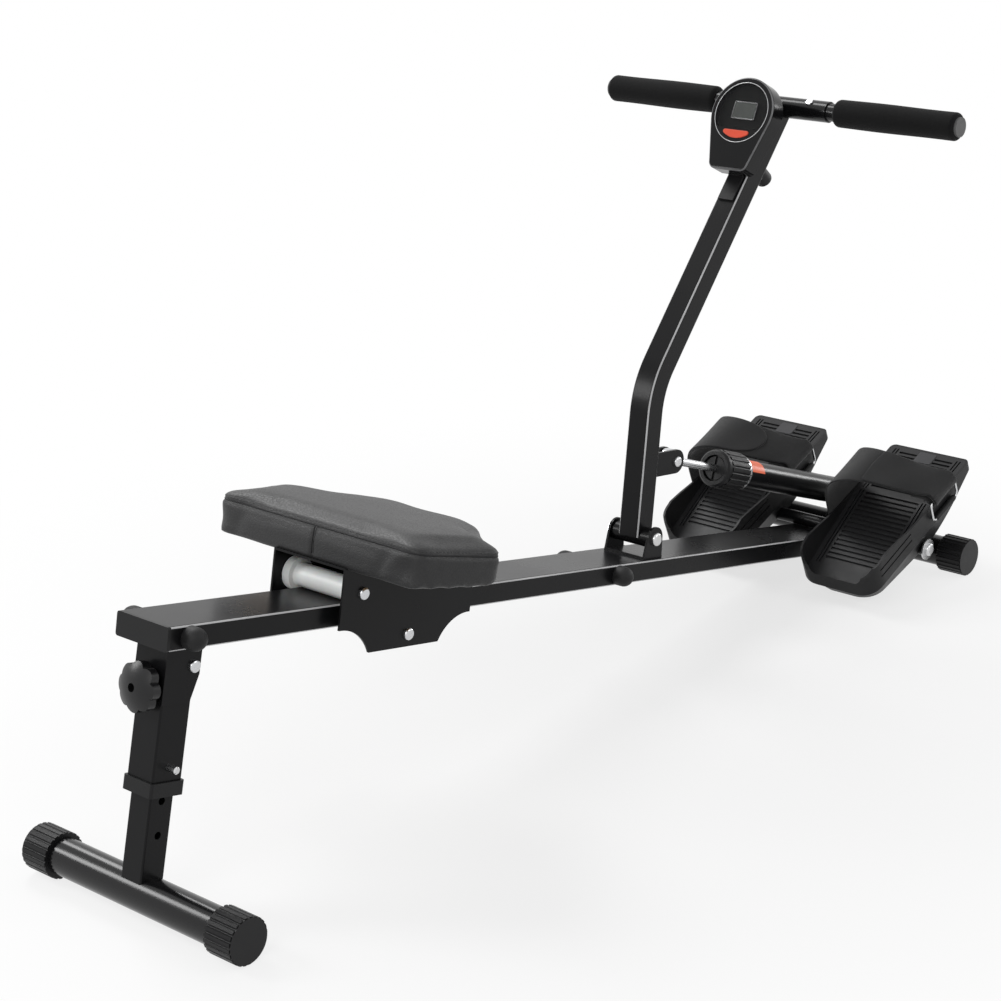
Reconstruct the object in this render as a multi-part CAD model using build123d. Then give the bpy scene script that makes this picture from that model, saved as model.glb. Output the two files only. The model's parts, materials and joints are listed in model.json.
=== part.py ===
"""Hydraulic rowing machine: every piece as its own solid, in millimetres, +X forward, +Z up."""
import os
from math import atan2, cos, degrees, hypot, radians, sin

from build123d import *

# Clearances
GAP = 0.3
FIT = 0.08
TOUCH = 0.02
LEAST_EDGE = 0.5

# Bolts: shares of the shank's diameter and of the head's height
HEAD_SIZE = 0.85
NUT_SIZE = 0.92
NUT_PROUD = 1.5
DOME_SHARE = 0.6

# Stabiliser bars and their ribbed end caps
BAR_D = 40.0
BAR_WALL = 1.5
CAP_D = 50.0
CAP_LEN = 36.0
CAP_END = 6.0
CAP_RIBS = 24
CAP_GROOVE_R = 1.5
CAP_RIM = 1.0
REAR_SPAN = 312.0
FRONT_SPAN = 405.0
FRONT_X = 1272.0
BAR_Z = CAP_D / 2

# Sloping beam, measured along its top from the rear edge
BEAM_W = 75.0
BEAM_H = 25.0
BEAM_WALL = 1.8
BEAM_EDGE = 3.0
BEAM_X = 34.3
BEAM_Z = 307.5
BEAM_TILT = 12.8
PLUG_FACE = 4.0
PLUG_DEPTH = 22.0
PLUG_EDGE = 1.2
STOP_D = 24.0
STOP_LEN = 20.0
STOP_DOWN = 12.5
STOP_REAR_S = 28.6
STOP_FRONT_S = 710.5

# Column bracket and pivot
BRACKET_W = 62.0
BRACKET_LEN = 36.0
BRACKET_S = 785.4
BRACKET_WALL = 3.0
PIVOT_UP = 24.3
EAR_TOP_R = 15.0
BOLT_D = 10.0
BOLT_HEAD = 5.5
BUSH_D = 24.0

# Column, handlebar and bumper
COLUMN_W = 30.0
COLUMN_WALL = 1.8
COLUMN_EDGE = 3.0
LOWER_LEN = 184.1
LOWER_LEAN = 9.35
UPPER_LEN = 403.2
UPPER_LEAN = 42.1
BEND_R = 110.0
T_SLEEVE_D = 26.0
T_SLEEVE_LEN = 156.0
GRIP_D = 22.0
GRIP_WALL = 1.5
GRIP_SPAN = 524.0
FOAM_D = 35.0
FOAM_GAP = 12.0
FOAM_ROUND = 5.0
END_PLUG_D = 24.0
END_PLUG_T = 3.0
END_PLUG_IN = 18.0
HANDLE_SCREW_Y = 53.0
SCREW_TURN = 35.0
SCREW_D = 4.0
SCREW_LEN = 8.0
SCREW_HEAD_D = 8.4
SCREW_HEAD_H = 2.4
BUMPER_D = 21.0
BUMPER_LEN = 26.0
BUMPER_DOWN = 84.0
BUMPER_ROUND = 4.0

# Clevis on the column and the hydraulic cylinder
LUG_AHEAD = 70.4
LUG_ABOVE = 76.7
LUG_R = 15.0
LUG_EAR = 4.0
LUG_GAP = 15.0
PIN_D = 8.0
PIN_HEAD = 4.5
EYE_SLACK = 6.9
EYE_WALL = 3.2
EYE_SIDE = 1.0
CYL_BASE_X = FRONT_X
CYL_BASE_Z = 76.8
TUBE_D = 36.0
TUBE_WALL = 2.0
TUBE_LOW = 26.0
ROD_D = 10.0
ROD_IN = 1.0
ROD_SOCKET_LOW = 7.0
ROD_SOCKET_WALL = 1.4
ROD_SOCKET_LEN = 10.0
DIAL_D = 50.0
DIAL_LEN = 50.0
DIAL_FACE = 101.0
DIAL_FLUTES = 20
FLUTE_OUT = 0.6
FLUTE_R = 1.9
DIAL_RIM = 9.0
DIAL_STEP = 1.0
DIAL_CHAMFER = 2.5
DIAL_MOUTH = 2.0
SCALE_T = 5.0
SCALE_IN = 1.5
HUB_D = 30.0
HUB_T = 4.0
HUB_IN = 16.0
HUB_SUNK = 7.0
HUB_SLOT_W = 4.0
HUB_SLOT_H = 3.0
BASE_EYE_R = 12.0
BASE_EYE_W = 16.0
BASE_NECK = 1.6
BASE_PLUG_IN = 10.0
BASE_DISC_T = 4.0
PISTON_T = 16.0
PISTON_UP = 30.0

# Leg, measured along it from the rear bar's axis
LEG_LEAN = 14.8
SLEEVE_W = 38.0
INNER_W = 30.0
LEG_WALL = 1.5
TUBE_EDGE = 2.0
SLEEVE_LOW = 108.0
SLEEVE_TOP = 246.0
MITRE_IN = 4.0
MITRE_OVER = 1.0
MITRE_REAR = 22.0
MITRE_FRONT = 6.0
INNER_TOP = 160.0
COLLAR_W = 43.0
COLLAR_LOW = 104.0
COLLAR_HIGH = 119.0
COLLAR_IN = 128.0
COLLAR_EDGE = 3.0
HOLE_PITCH = 35.6
PIN_UP = 133.5
PIN_TIP = 13.0
PIN_NECK = 2.0
PIN_KNOB = 9.0
PIN_CHAMFER = 1.2
LEG_HOLES = 3
LEG_PIVOT_UP = 236.2
LEG_PIVOT_AHEAD = 14.0
LEG_PLATE = 2.5
LEG_BRACKET_LOW = 198.5
LEG_EAR_R = 9.0
EAR_OVER = 40.0
KNOB_UP = 213.8
KNOB_D = 52.0
KNOB_T = 16.0
KNOB_LOBES = 8
KNOB_STUD_D = 10.0
KNOB_HUB_T = 6.0
KNOB_SOCKET_D = 9.0
KNOB_SOCKET_DEEP = 9.0
# The knob's lobes, hub and dome, as shares of its lobes or its diameter
LOBE_SHARE = 0.92
LOBE_IN = 0.8
KNOB_HUB_R = 0.24
DOME_DOWN = 0.72
DOME_R = 1.02

# Seat carriage and pad, measured along the beam and up from its top
PLATE_S = 220.0
PLATE_LEN = 204.0
PLATE_T = 2.5
PLATE_IN = 50.0
PLATE_TOP = 42.0
PLATE_WAIST = 24.0
PLATE_LOW = 52.5
PLATE_FOOT = 48.0
PLATE_BOW = 6.0
ROLLER_R = 13.0
FLANGE_R = 18.0
FLANGE_GAP = 0.7
FLANGE_SLOPE = 1.0
LOWER_R = 13.0
ROLLER_IN = 30.0
LOWER_IN = 106.0
AXLE_D = 8.0
PAD_REAR_S = 217.0
PAD_LEN = 202.0
PAD_HALF = 176.0
PAD_FALL = 2.9
PAD_EDGE = 28.5
PAD_ROLL = 12.0
PAD_STEPS = 3
PAD_CROWN = 3.5
PAD_CROWN_MID = 0.75
PAD_FOOT_IN = 2.0
PAD_WAIST_IN = 4.0
PAD_WAIST = 10.0
PAD_TOP_IN = 70.0
# Corners of half the pad's outline, as shares of its length and half width, and their rounding
PAD_CORNERS = [(0.0, 0.85), (0.53, 1.0), (0.66, 0.78), (1.0, 0.36)]
PAD_ROUNDS = [22.0, 12.0, 30.0, 34.0]
BOARD_T = 10.0
BOARD_IN = 18.0

# Pedals, measured from the axle along and square to the toe half of the tread
AXLE_X = 1210.0
AXLE_Z = 50.0
PEDAL_AXLE_D = 18.0
AXLE_WALL = 3.0
WASHER_D = 28.0
WASHER_T = 2.0
END_HEAD_D = 17.0
END_HEAD_H = 5.0
END_BOLT_IN = 30.0
PEDAL_TILT = 21.0
PEDAL_Y = 113.0
PEDAL_W = 121.0
TOE = 134.0
TREAD_UP = 50.0
TREAD_BREAK = 36.0
HEEL_TREAD = -97.0
HEEL_UP = 22.0
HEEL = -128.0
HEEL_DROP = 6.0
TREAD_T = 4.0
HULL_WALL = 3.0
HULL_LOW = -9.0
CHIN = 14.0
CHIN_AT = 12.0
CHIN_UP = 7.0
KEEL_REAR = 44.0
KEEL_FRONT = 14.0
BELLY = -2.0
TOE_LOW = 97.0
TOE_LOW_UP = 26.0
TOE_LIP = 2.0
TOE_LIP_UP = 41.0
HULL_ROUND = 16.0
HEEL_TUCK = 18.0
HEEL_R = 30.0
TOE_R = 8.0
SLOT_PITCH = 7.6
SLOT_W = 4.0
SLOT_DEEP = 2.2
SLOT_LEN = 82.0
EDGE_SHARE = 0.6
TAB_LEN = 24.0
TAB_W = 28.0
TAB_IN = 4.0
GROOVE_W = 2.2
GROOVE_DEEP = 1.2
GROOVE_DOWN = 14.0
GROOVE_PITCH = 10.0
GROOVE_REAR = 104.0
GROOVE_FRONT = 26.0
GROOVES = 2
RIM_UP = 60.0
# Bends of the heel rim, forward of the heel and over the heel's tread, under the rim or over the tread
RIM_FOOT_AT = 5.0
RIM_FOOT_UP = 20.0
RIM_BEND_AT = 16.0
RIM_BEND_DOWN = 6.0
RIM_TOP_AT = 40.0
RIM_BACK_AT = 62.0
RIM_BACK_DOWN = 2.0
RIM_END_AT = 105.0
RIM_END_UP = 2.0
STRAP_W = 56.0
STRAP_MID_W = 76.0
STRAP_T = 2.6
STRAP_TOP = 123.0
STRAP_WALL_DOWN = 44.0
SHOULDER_IN = 19.0
SHOULDER_DOWN = 4.0
CROWN_AT = 4.0
FALL_AT = 28.0
FALL_DOWN = 26.0
STRAP_FOOT = 30.0
STRAP_END = 42.0
STRAP_END_RUN = 20.0
STRAP_BEND = 26.0
STRAP_AT = 17.0
STRAP_END_AT = 53.0
STRAP_FOOT_AT = -4.0
STRAP_FOOT_W = 44.0
WIRE_D = 3.2

# Console, measured on its face from the bottom edge
CONSOLE_TILT = 15.0
CONSOLE_DOWN = 119.2
CONSOLE_OFF = 27.0
FACE_R = 45.0
FACE_MID = 73.0
FOOT_R = 10.0
FOOT_X = 19.0
SHELL_D = 22.0
SHELL_WALL = 2.0
SHELL_ROUND = 3.0
LIP_H = 5.0
RING_R = 37.0
WINDOW_T = 1.5
CHORD_DOWN = 21.2
BRIDGE_W = 2.4
KEY_IN = 4.0
KEY_ROUND = 3.0
KEY_PROUD = 1.2
KEY_EDGE = 0.8
BUTTON_T = 5.0
LCD_W = 31.0
LCD_H = 19.0
LCD_T = 3.0
LCD_DEEP = 3.5
LCD_RISE = 4.0
BOARD_THIN = 1.6
POST_R = 3.0
POSTS = 3
TONGUE_W = 22.0
TONGUE_T = 3.0
TONGUE_LEN = 48.0
TONGUE_DOWN = 4.0
WEDGE_LOW = 6.0
WEDGE_MID = 20.0
WEDGE_TOP = 56.0
WEDGE_LOW_OUT = 20.0
WEDGE_TOP_OUT = 30.0


def across(sketch, y0, y1):
    """Extrude a side-view sketch (x, z) from y0 to y1."""
    return extrude(Plane.XZ.offset(-y1) * sketch, amount=y1 - y0)


def sheet(points):
    """A face from a closed run of points."""
    return make_face(Polyline(*points, close=True))


def tube_section(width, height, wall, edge):
    """A rounded rectangular tube's section."""
    inner = RectangleRounded(width - 2 * wall, height - 2 * wall, max(edge - wall, LEAST_EDGE))
    return RectangleRounded(width, height, edge) - inner


def round_tube(outer, wall, y0, y1):
    """A round tube across the machine."""
    return across(Circle(outer / 2) - Circle(outer / 2 - wall), y0, y1)


def dome(radius, height, y0, outward):
    """A domed screw head whose flat side is at y0."""
    disc = across(Circle(radius), min(y0, y0 + outward * height), max(y0, y0 + outward * height))
    edges = disc.edges().filter_by(GeomType.CIRCLE).sort_by(Axis.Y)
    return fillet([edges[-1] if outward > 0 else edges[0]], height * DOME_SHARE)


def cross_bolt(d, half, head_r, head_h):
    """A bolt across the machine: shank, domed head on the right, hexagon nut on the left."""
    shank = across(Circle(d / 2), -half, half + head_h * NUT_PROUD)
    nut = across(RegularPolygon(d * NUT_SIZE, 6) - Circle(d / 2 - TOUCH), half, half + head_h)
    return shank + nut + dome(head_r, head_h, -half, -1)


def ribbed_cap(span):
    """The pair of ribbed caps on the ends of a bar."""
    outline = RegularPolygon(CAP_D / 2, CAP_RIBS, major_radius=False, rotation=90 - 180 / CAP_RIBS)
    corner = CAP_D / 2 / cos(radians(180 / CAP_RIBS))
    start = 90 - 180 / CAP_RIBS
    grooves = PolarLocations(corner, CAP_RIBS, start_angle=start) * Circle(CAP_GROOVE_R)
    body = across(outline - grooves, -span / 2, -span / 2 + CAP_LEN)
    rim = across(Circle(CAP_D / 2 - CAP_RIM), -span / 2 - CAP_RIM, -span / 2)
    bore = across(Circle(BAR_D / 2), -span / 2 + CAP_END, -span / 2 + CAP_LEN)
    return (body - bore) + rim


def pair(right):
    """A piece and its mirror image on the other side."""
    return Compound([*right.solids(), *mirror(right, about=Plane.XZ).solids()])


def largest(shape):
    """The biggest solid that a cut leaves."""
    return Compound([shape.solids().sort_by(SortBy.VOLUME)[-1]])


# Frames of the sloping groups
BEAM = Location((BEAM_X, 0, BEAM_Z), (0, BEAM_TILT, 0))
LEG = Location((0, 0, BAR_Z), (0, LEG_LEAN, 0))
PEDAL = Location((AXLE_X, 0, AXLE_Z), (0, -PEDAL_TILT, 0))


def beam_point(s, h):
    """A point of the beam's frame in the machine's side view."""
    t = radians(BEAM_TILT)
    return BEAM_X + s * cos(t) + h * sin(t), BEAM_Z - s * sin(t) + h * cos(t)


PIVOT = beam_point(BRACKET_S, PIVOT_UP)
LOWER_DIR = (sin(radians(LOWER_LEAN)), cos(radians(LOWER_LEAN)))
UPPER_DIR = (sin(radians(UPPER_LEAN)), cos(radians(UPPER_LEAN)))
KNEE = (PIVOT[0] + LOWER_LEN * LOWER_DIR[0], PIVOT[1] + LOWER_LEN * LOWER_DIR[1])
HANDLE = (KNEE[0] + UPPER_LEN * UPPER_DIR[0], KNEE[1] + UPPER_LEN * UPPER_DIR[1])
LUG = (PIVOT[0] + LUG_AHEAD, PIVOT[1] + LUG_ABOVE)
STROKE_LEN = hypot(LUG[0] - CYL_BASE_X, LUG[1] - CYL_BASE_Z)
CYL_TURN = degrees(atan2(LUG[0] - CYL_BASE_X, LUG[1] - CYL_BASE_Z))
CYLINDER = Location((CYL_BASE_X, 0, CYL_BASE_Z), (0, CYL_TURN, 0))
COLUMN = Location((KNEE[0], 0, KNEE[1]), (0, UPPER_LEAN, 0))
CONSOLE_ALONG = UPPER_LEN - CONSOLE_DOWN
nodes = {}

# Front bar, beam and what is welded to them
front_bar_solid = Pos(FRONT_X, 0, BAR_Z) * across(Circle(BAR_D / 2), -FRONT_SPAN / 2, FRONT_SPAN / 2)
bar_reach = FRONT_SPAN / 2 - CAP_END
nodes["front_bar"] = Pos(FRONT_X, 0, BAR_Z) * round_tube(BAR_D, BAR_WALL, -bar_reach, bar_reach)
nodes["front_bar_caps"] = Pos(FRONT_X, 0, BAR_Z) * pair(ribbed_cap(FRONT_SPAN))
slope = radians(BEAM_TILT)
beam_len = (FRONT_X - BEAM_X) * cos(slope) + (BEAM_Z - BAR_Z) * sin(slope)
beam_outer = BEAM * Pos(0, 0, -BEAM_H / 2) * extrude(
    Plane.YZ * RectangleRounded(BEAM_W, BEAM_H, BEAM_EDGE), amount=beam_len)
tube = extrude(Plane.YZ * tube_section(BEAM_W, BEAM_H, BEAM_WALL, BEAM_EDGE), amount=beam_len - PLUG_FACE)
tube = BEAM * Pos(PLUG_FACE, 0, -BEAM_H / 2) * tube
nose_cut = Pos(FRONT_X, 0, 0) * Box(BAR_D, BEAM_W * 2, BAR_Z * 2)
nodes["main_beam"] = tube - front_bar_solid - nose_cut
plug = extrude(Plane.YZ * RectangleRounded(BEAM_W, BEAM_H, BEAM_EDGE), amount=PLUG_FACE)
stem_w, stem_h = BEAM_W - 2 * BEAM_WALL, BEAM_H - 2 * BEAM_WALL
stem = tube_section(stem_w, stem_h, BEAM_WALL, PLUG_EDGE)
stem = extrude(Plane.YZ.offset(PLUG_FACE) * stem, amount=PLUG_DEPTH)
nodes["beam_end_plug"] = BEAM * Pos(0, 0, -BEAM_H / 2) * (plug + stem)
buffer = dome(STOP_D / 2, STOP_LEN, -BEAM_W / 2, -1)
stops = [*(Pos(STOP_REAR_S, 0, -STOP_DOWN) * pair(buffer)).solids()]
stops += [*(Pos(STOP_FRONT_S, 0, -STOP_DOWN) * pair(buffer)).solids()]
nodes["seat_stops"] = BEAM * Compound(stops)

# Column bracket on the beam, with the pivot bolt through its ears
half = BRACKET_W / 2
ear = sheet([(-BRACKET_LEN / 2, 0), (BRACKET_LEN / 2, 0), (EAR_TOP_R, PIVOT_UP), (-EAR_TOP_R, PIVOT_UP)])
ear = ear + Pos(0, PIVOT_UP) * Circle(EAR_TOP_R) - Pos(0, PIVOT_UP) * Circle(BOLT_D / 2)
floor_plate = Pos(0, 0, BRACKET_WALL / 2) * Box(BRACKET_LEN, BRACKET_W, BRACKET_WALL)
ears = across(ear, -half, -half + BRACKET_WALL) + across(ear, half - BRACKET_WALL, half)
nodes["column_bracket"] = BEAM * Pos(BRACKET_S, 0, 0) * (floor_plate + ears)
pivot_at = Pos(PIVOT[0], 0, PIVOT[1])
nodes["column_pivot_bolt"] = pivot_at * cross_bolt(BOLT_D, half, BOLT_D * HEAD_SIZE, BOLT_HEAD)

# Clevis for the cylinder on top of the front bar, and the pedal axle across the beam
clevis_half = BASE_EYE_W / 2 + GAP * 2
cyl_up = CYL_BASE_Z - BAR_Z
clevis_ear = sheet([(-BAR_D / 2, 0), (BAR_D / 2, 0), (BASE_EYE_R, cyl_up), (-BASE_EYE_R, cyl_up)])
clevis_ear = clevis_ear + Pos(0, cyl_up) * Circle(BASE_EYE_R) - Pos(0, cyl_up) * Circle(PIN_D / 2)
clevis = across(clevis_ear, clevis_half, clevis_half + LUG_EAR)
clevis = Pos(FRONT_X, 0, BAR_Z) * pair(clevis) - front_bar_solid
nodes["cylinder_clevis"] = Compound(clevis.solids())
base_pin = Pos(CYL_BASE_X, 0, CYL_BASE_Z)
nodes["cylinder_bolt"] = base_pin * cross_bolt(PIN_D, clevis_half + LUG_EAR, PIN_D * HEAD_SIZE, PIN_HEAD)
axle_half = PEDAL_Y + PEDAL_W / 2 + GAP * 2
axle_at = Pos(AXLE_X, 0, AXLE_Z)
axle = axle_at * round_tube(PEDAL_AXLE_D, AXLE_WALL, -axle_half, axle_half)
nodes["pedal_axle"] = axle - beam_outer
washer = across(Circle(WASHER_D / 2), axle_half, axle_half + WASHER_T)
end_bolt = across(Circle(PEDAL_AXLE_D / 2 - AXLE_WALL), axle_half - END_BOLT_IN, axle_half)
end_bolt = end_bolt + washer + dome(END_HEAD_D / 2, END_HEAD_H, axle_half + WASHER_T, 1)
nodes["pedal_end_bolts"] = axle_at * pair(end_bolt)

# Leg bracket under the beam, open to the front, and its pivot bolt
side_gap = SLEEVE_W / 2 + GAP * 2
outside = side_gap + LEG_PLATE
leg_ear = sheet([
    (-outside, LEG_BRACKET_LOW), (LEG_PIVOT_AHEAD, LEG_BRACKET_LOW),
    (LEG_PIVOT_AHEAD + LEG_EAR_R, LEG_PIVOT_UP - LEG_EAR_R),
    (LEG_PIVOT_AHEAD + LEG_EAR_R, LEG_PIVOT_UP + EAR_OVER), (-outside, LEG_PIVOT_UP + EAR_OVER)])
pivot_hole = Pos(LEG_PIVOT_AHEAD, LEG_PIVOT_UP) * Circle(PIN_D / 2)
shell = across(leg_ear - pivot_hole, -outside, outside)
hollow = Pos(0, 0, LEG_PIVOT_UP) * Box(2 * side_gap, 2 * side_gap, LEG_PIVOT_UP)
hollow = hollow + Pos(side_gap, 0, LEG_PIVOT_UP) * Box(4 * side_gap, 2 * side_gap, LEG_PIVOT_UP)
stud_hole = Pos(-outside, 0, KNOB_UP) * Rot(0, 90, 0) * Cylinder(KNOB_STUD_D / 2 + FIT, 2 * KNOB_STUD_D)
nodes["leg_bracket"] = LEG * (shell - hollow - stud_hole) - beam_outer
leg_pivot = Pos(LEG_PIVOT_AHEAD, 0, LEG_PIVOT_UP)
nodes["leg_pivot_bolt"] = LEG * leg_pivot * cross_bolt(PIN_D, outside, PIN_D * HEAD_SIZE, PIN_HEAD)

# Folding leg: sleeve, collar, drilled inner tube, rear bar
sleeve = extrude(Plane.XY.offset(SLEEVE_LOW) * tube_section(SLEEVE_W, SLEEVE_W, LEG_WALL, TUBE_EDGE),
                 amount=SLEEVE_TOP - SLEEVE_LOW)
mitre_top = SLEEVE_TOP + MITRE_OVER
mitre = sheet([(-MITRE_IN, mitre_top), (-SLEEVE_W, mitre_top), (-SLEEVE_W, LEG_PIVOT_UP - MITRE_REAR),
               (-SLEEVE_W / 2, LEG_PIVOT_UP - MITRE_FRONT)])
pin_hole = Pos(0, 0, PIN_UP) * across(Circle(PIN_D / 2 + FIT), -SLEEVE_W, SLEEVE_W)
fold_hole = leg_pivot * across(Circle(PIN_D / 2 + FIT), -SLEEVE_W, SLEEVE_W)
relief_at = Pos(LEG_PIVOT_AHEAD + PIN_D, 0, LEG_PIVOT_UP)
front_relief = relief_at * Box(PIN_D * 2, SLEEVE_W - 2 * LEG_WALL, PIN_D * 3)
sleeve = sleeve - across(mitre, -SLEEVE_W, SLEEVE_W) - pin_hole - fold_hole - front_relief
nodes["leg_sleeve"] = LEG * sleeve
fit_w = INNER_W + 2 * TOUCH
collar = extrude(Plane.XY.offset(COLLAR_LOW) * RectangleRounded(COLLAR_W, COLLAR_W, COLLAR_EDGE),
                 amount=COLLAR_HIGH - COLLAR_LOW)
sleeve_box = Pos(0, 0, (SLEEVE_LOW + SLEEVE_TOP) / 2) * Box(SLEEVE_W, SLEEVE_W, SLEEVE_TOP - SLEEVE_LOW)
lining_w = SLEEVE_W - 2 * LEG_WALL - 2 * TOUCH
lining = extrude(Plane.XY.offset(SLEEVE_LOW) * RectangleRounded(lining_w, lining_w, TUBE_EDGE),
                 amount=COLLAR_IN - SLEEVE_LOW)
inner_box = Pos(0, 0, SLEEVE_LOW) * Box(fit_w, fit_w, SLEEVE_LOW)
nodes["leg_collar"] = LEG * ((collar - sleeve_box) + lining - inner_box)
inner = extrude(Plane.XY * tube_section(INNER_W, INNER_W, LEG_WALL, TUBE_EDGE), amount=INNER_TOP)
for n in range(LEG_HOLES):
    drill = across(Circle(PIN_D / 2 + FIT), -INNER_W, INNER_W)
    inner = inner - Pos(0, 0, PIN_UP - n * HOLE_PITCH) * drill
rear_reach = REAR_SPAN / 2 - CAP_END
inner = inner - across(Circle(BAR_D / 2), -INNER_W, INNER_W)
nodes["inner_leg"] = LEG * inner
nodes["rear_bar"] = Pos(0, 0, BAR_Z) * round_tube(BAR_D, BAR_WALL, -rear_reach, rear_reach)
nodes["rear_bar_caps"] = Pos(0, 0, BAR_Z) * pair(ribbed_cap(REAR_SPAN))
pin = across(Circle(PIN_D / 2), -SLEEVE_W / 2 - PIN_TIP, SLEEVE_W / 2 + PIN_NECK)
pin = pin + across(Circle(PIN_D), SLEEVE_W / 2 + GAP, SLEEVE_W / 2 + PIN_KNOB)
tip = pin.edges().filter_by(GeomType.CIRCLE).sort_by(Axis.Y)[0]
nodes["height_pin"] = LEG * Pos(0, 0, PIN_UP) * chamfer(tip, PIN_CHAMFER)

# Lobed hand knob that clamps the leg against its bracket
lobe_r = KNOB_D / 2 * sin(radians(180 / KNOB_LOBES)) * LOBE_SHARE
lobe_ring = PolarLocations(KNOB_D / 2 - lobe_r, KNOB_LOBES)
lobes = Circle(KNOB_D / 2 - lobe_r * LOBE_IN) + lobe_ring * Circle(lobe_r)
grip = extrude(lobes, amount=KNOB_T)
grip = grip & (Pos(0, 0, -KNOB_D * DOME_DOWN) * Sphere(KNOB_D * DOME_R))
hub = Pos(0, 0, -KNOB_HUB_T) * extrude(Circle(KNOB_D * KNOB_HUB_R), amount=KNOB_HUB_T)
stud = Pos(0, 0, -KNOB_HUB_T - (LEG_PLATE + GAP)) * extrude(Circle(KNOB_STUD_D / 2), amount=LEG_PLATE + GAP)
socket = Pos(0, 0, KNOB_T - KNOB_SOCKET_DEEP) * extrude(Circle(KNOB_SOCKET_D / 2), amount=KNOB_T)
knob = grip + hub + stud - socket
knob_turn = Pos(-outside - KNOB_HUB_T - GAP, 0, KNOB_UP) * Rot(0, -90, 0)
nodes["leg_knob"] = LEG * knob_turn * knob

# Seat carriage: bent steel channel, three axle bolts, three rollers
p0, p1 = PLATE_S, PLATE_S + PLATE_LEN
foot0, foot1 = p0 + PLATE_FOOT, p1 - PLATE_FOOT
cheek_mid = PLATE_BOW - (PLATE_WAIST + PLATE_LOW) / 2
with BuildLine() as cheek_line:
    Polyline((p0, -PLATE_WAIST), (p0, PLATE_TOP), (p1, PLATE_TOP), (p1, -PLATE_WAIST))
    ThreePointArc((p1, -PLATE_WAIST), ((p1 + foot1) / 2 - PLATE_BOW, cheek_mid),
                  (foot1, -PLATE_LOW))
    Line((foot1, -PLATE_LOW), (foot0, -PLATE_LOW))
    ThreePointArc((foot0, -PLATE_LOW), ((p0 + foot0) / 2 + PLATE_BOW, cheek_mid),
                  (p0, -PLATE_WAIST))
upper_h = ROLLER_R + GAP
lower_h = -BEAM_H - LOWER_R - GAP
axles = [(p0 + ROLLER_IN, upper_h), (p1 - ROLLER_IN, upper_h), (p0 + LOWER_IN, lower_h)]
cheek = make_face(cheek_line.line)
for s, h in axles:
    cheek = cheek - Pos(s, h) * Circle(AXLE_D / 2)
cheeks = pair(across(cheek, PLATE_IN, PLATE_IN + PLATE_T))
web = Pos((p0 + p1) / 2, 0, PLATE_TOP - PLATE_T / 2) * Box(PLATE_LEN, 2 * PLATE_IN, PLATE_T)
carriage = web
for side in cheeks.solids():
    carriage = carriage + side
nodes["seat_carriage"] = BEAM * carriage
axle_bolt = cross_bolt(AXLE_D, PLATE_IN + PLATE_T, AXLE_D * HEAD_SIZE, PIN_HEAD)
nodes["seat_axle_bolts"] = BEAM * Compound([(Pos(s, 0, h) * axle_bolt).solid() for s, h in axles])
roller_half = PLATE_IN - GAP * 2
flange_in = BEAM_W / 2 + FLANGE_GAP
bore = AXLE_D / 2 + FIT
with BuildLine() as spool_line:
    Polyline((bore, -roller_half), (FLANGE_R, -roller_half), (FLANGE_R, -flange_in - FLANGE_SLOPE),
             (ROLLER_R, -flange_in), (ROLLER_R, flange_in), (FLANGE_R, flange_in + FLANGE_SLOPE),
             (FLANGE_R, roller_half), (bore, roller_half), close=True)
spool = revolve(make_face(spool_line.line), Axis.Y)
plain = across(Circle(LOWER_R) - Circle(bore), -roller_half, roller_half)
for name, (s, h), shape in zip(("rear", "front", "lower"), axles, (spool, spool, plain)):
    nodes["seat_roller_" + name] = BEAM * Pos(s, 0, h) * shape

# Seat pad: crowned cushion with drawn-in sides over a board
def pad_plan(inset):
    """The pad's outline drawn in all round: straight rear, flared wings and a blunt nose."""
    along, aside = 1 - 2 * inset / PAD_LEN, 1 - inset / PAD_HALF
    half = [(PAD_LEN * (a - 0.5) * along, PAD_HALF * b * aside) for a, b in PAD_CORNERS]
    face = sheet(half + [(a, -b) for a, b in reversed(half)])
    for (a, b), rounding in zip(half, PAD_ROUNDS):
        corners = [v for v in face.vertices() if abs(v.X - a) < TOUCH and abs(abs(v.Y) - b) < TOUCH]
        face = fillet(corners, rounding * along)
    return face


def pad_section(inset, up, lean):
    """The pad's outline at a height over its middle, leaning a share of the top's fall."""
    return Pos(PAD_REAR_S + PAD_LEN / 2, 0, PLATE_TOP + up) * Rot(0, PAD_FALL * lean, 0) * pad_plan(inset)


turns = [radians(90 * n / PAD_STEPS) for n in range(PAD_STEPS + 1)]
layers = [(PAD_FOOT_IN, 0, 0), (PAD_WAIST_IN, PAD_WAIST, PAD_WAIST / PAD_EDGE)]
layers += [(PAD_ROLL * (1 - cos(t)), PAD_EDGE + PAD_ROLL * sin(t), 1) for t in turns]
layers += [(PAD_TOP_IN / 2, PAD_EDGE + PAD_ROLL + PAD_CROWN * PAD_CROWN_MID, 1)]
layers += [(PAD_TOP_IN, PAD_EDGE + PAD_ROLL + PAD_CROWN, 1)]
cushion = loft([pad_section(*layer) for layer in layers], ruled=True)
nodes["seat_board"] = BEAM * extrude(pad_section(BOARD_IN, 0, 0), amount=BOARD_T)
nodes["seat_pad"] = BEAM * cushion - nodes["seat_board"]

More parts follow.
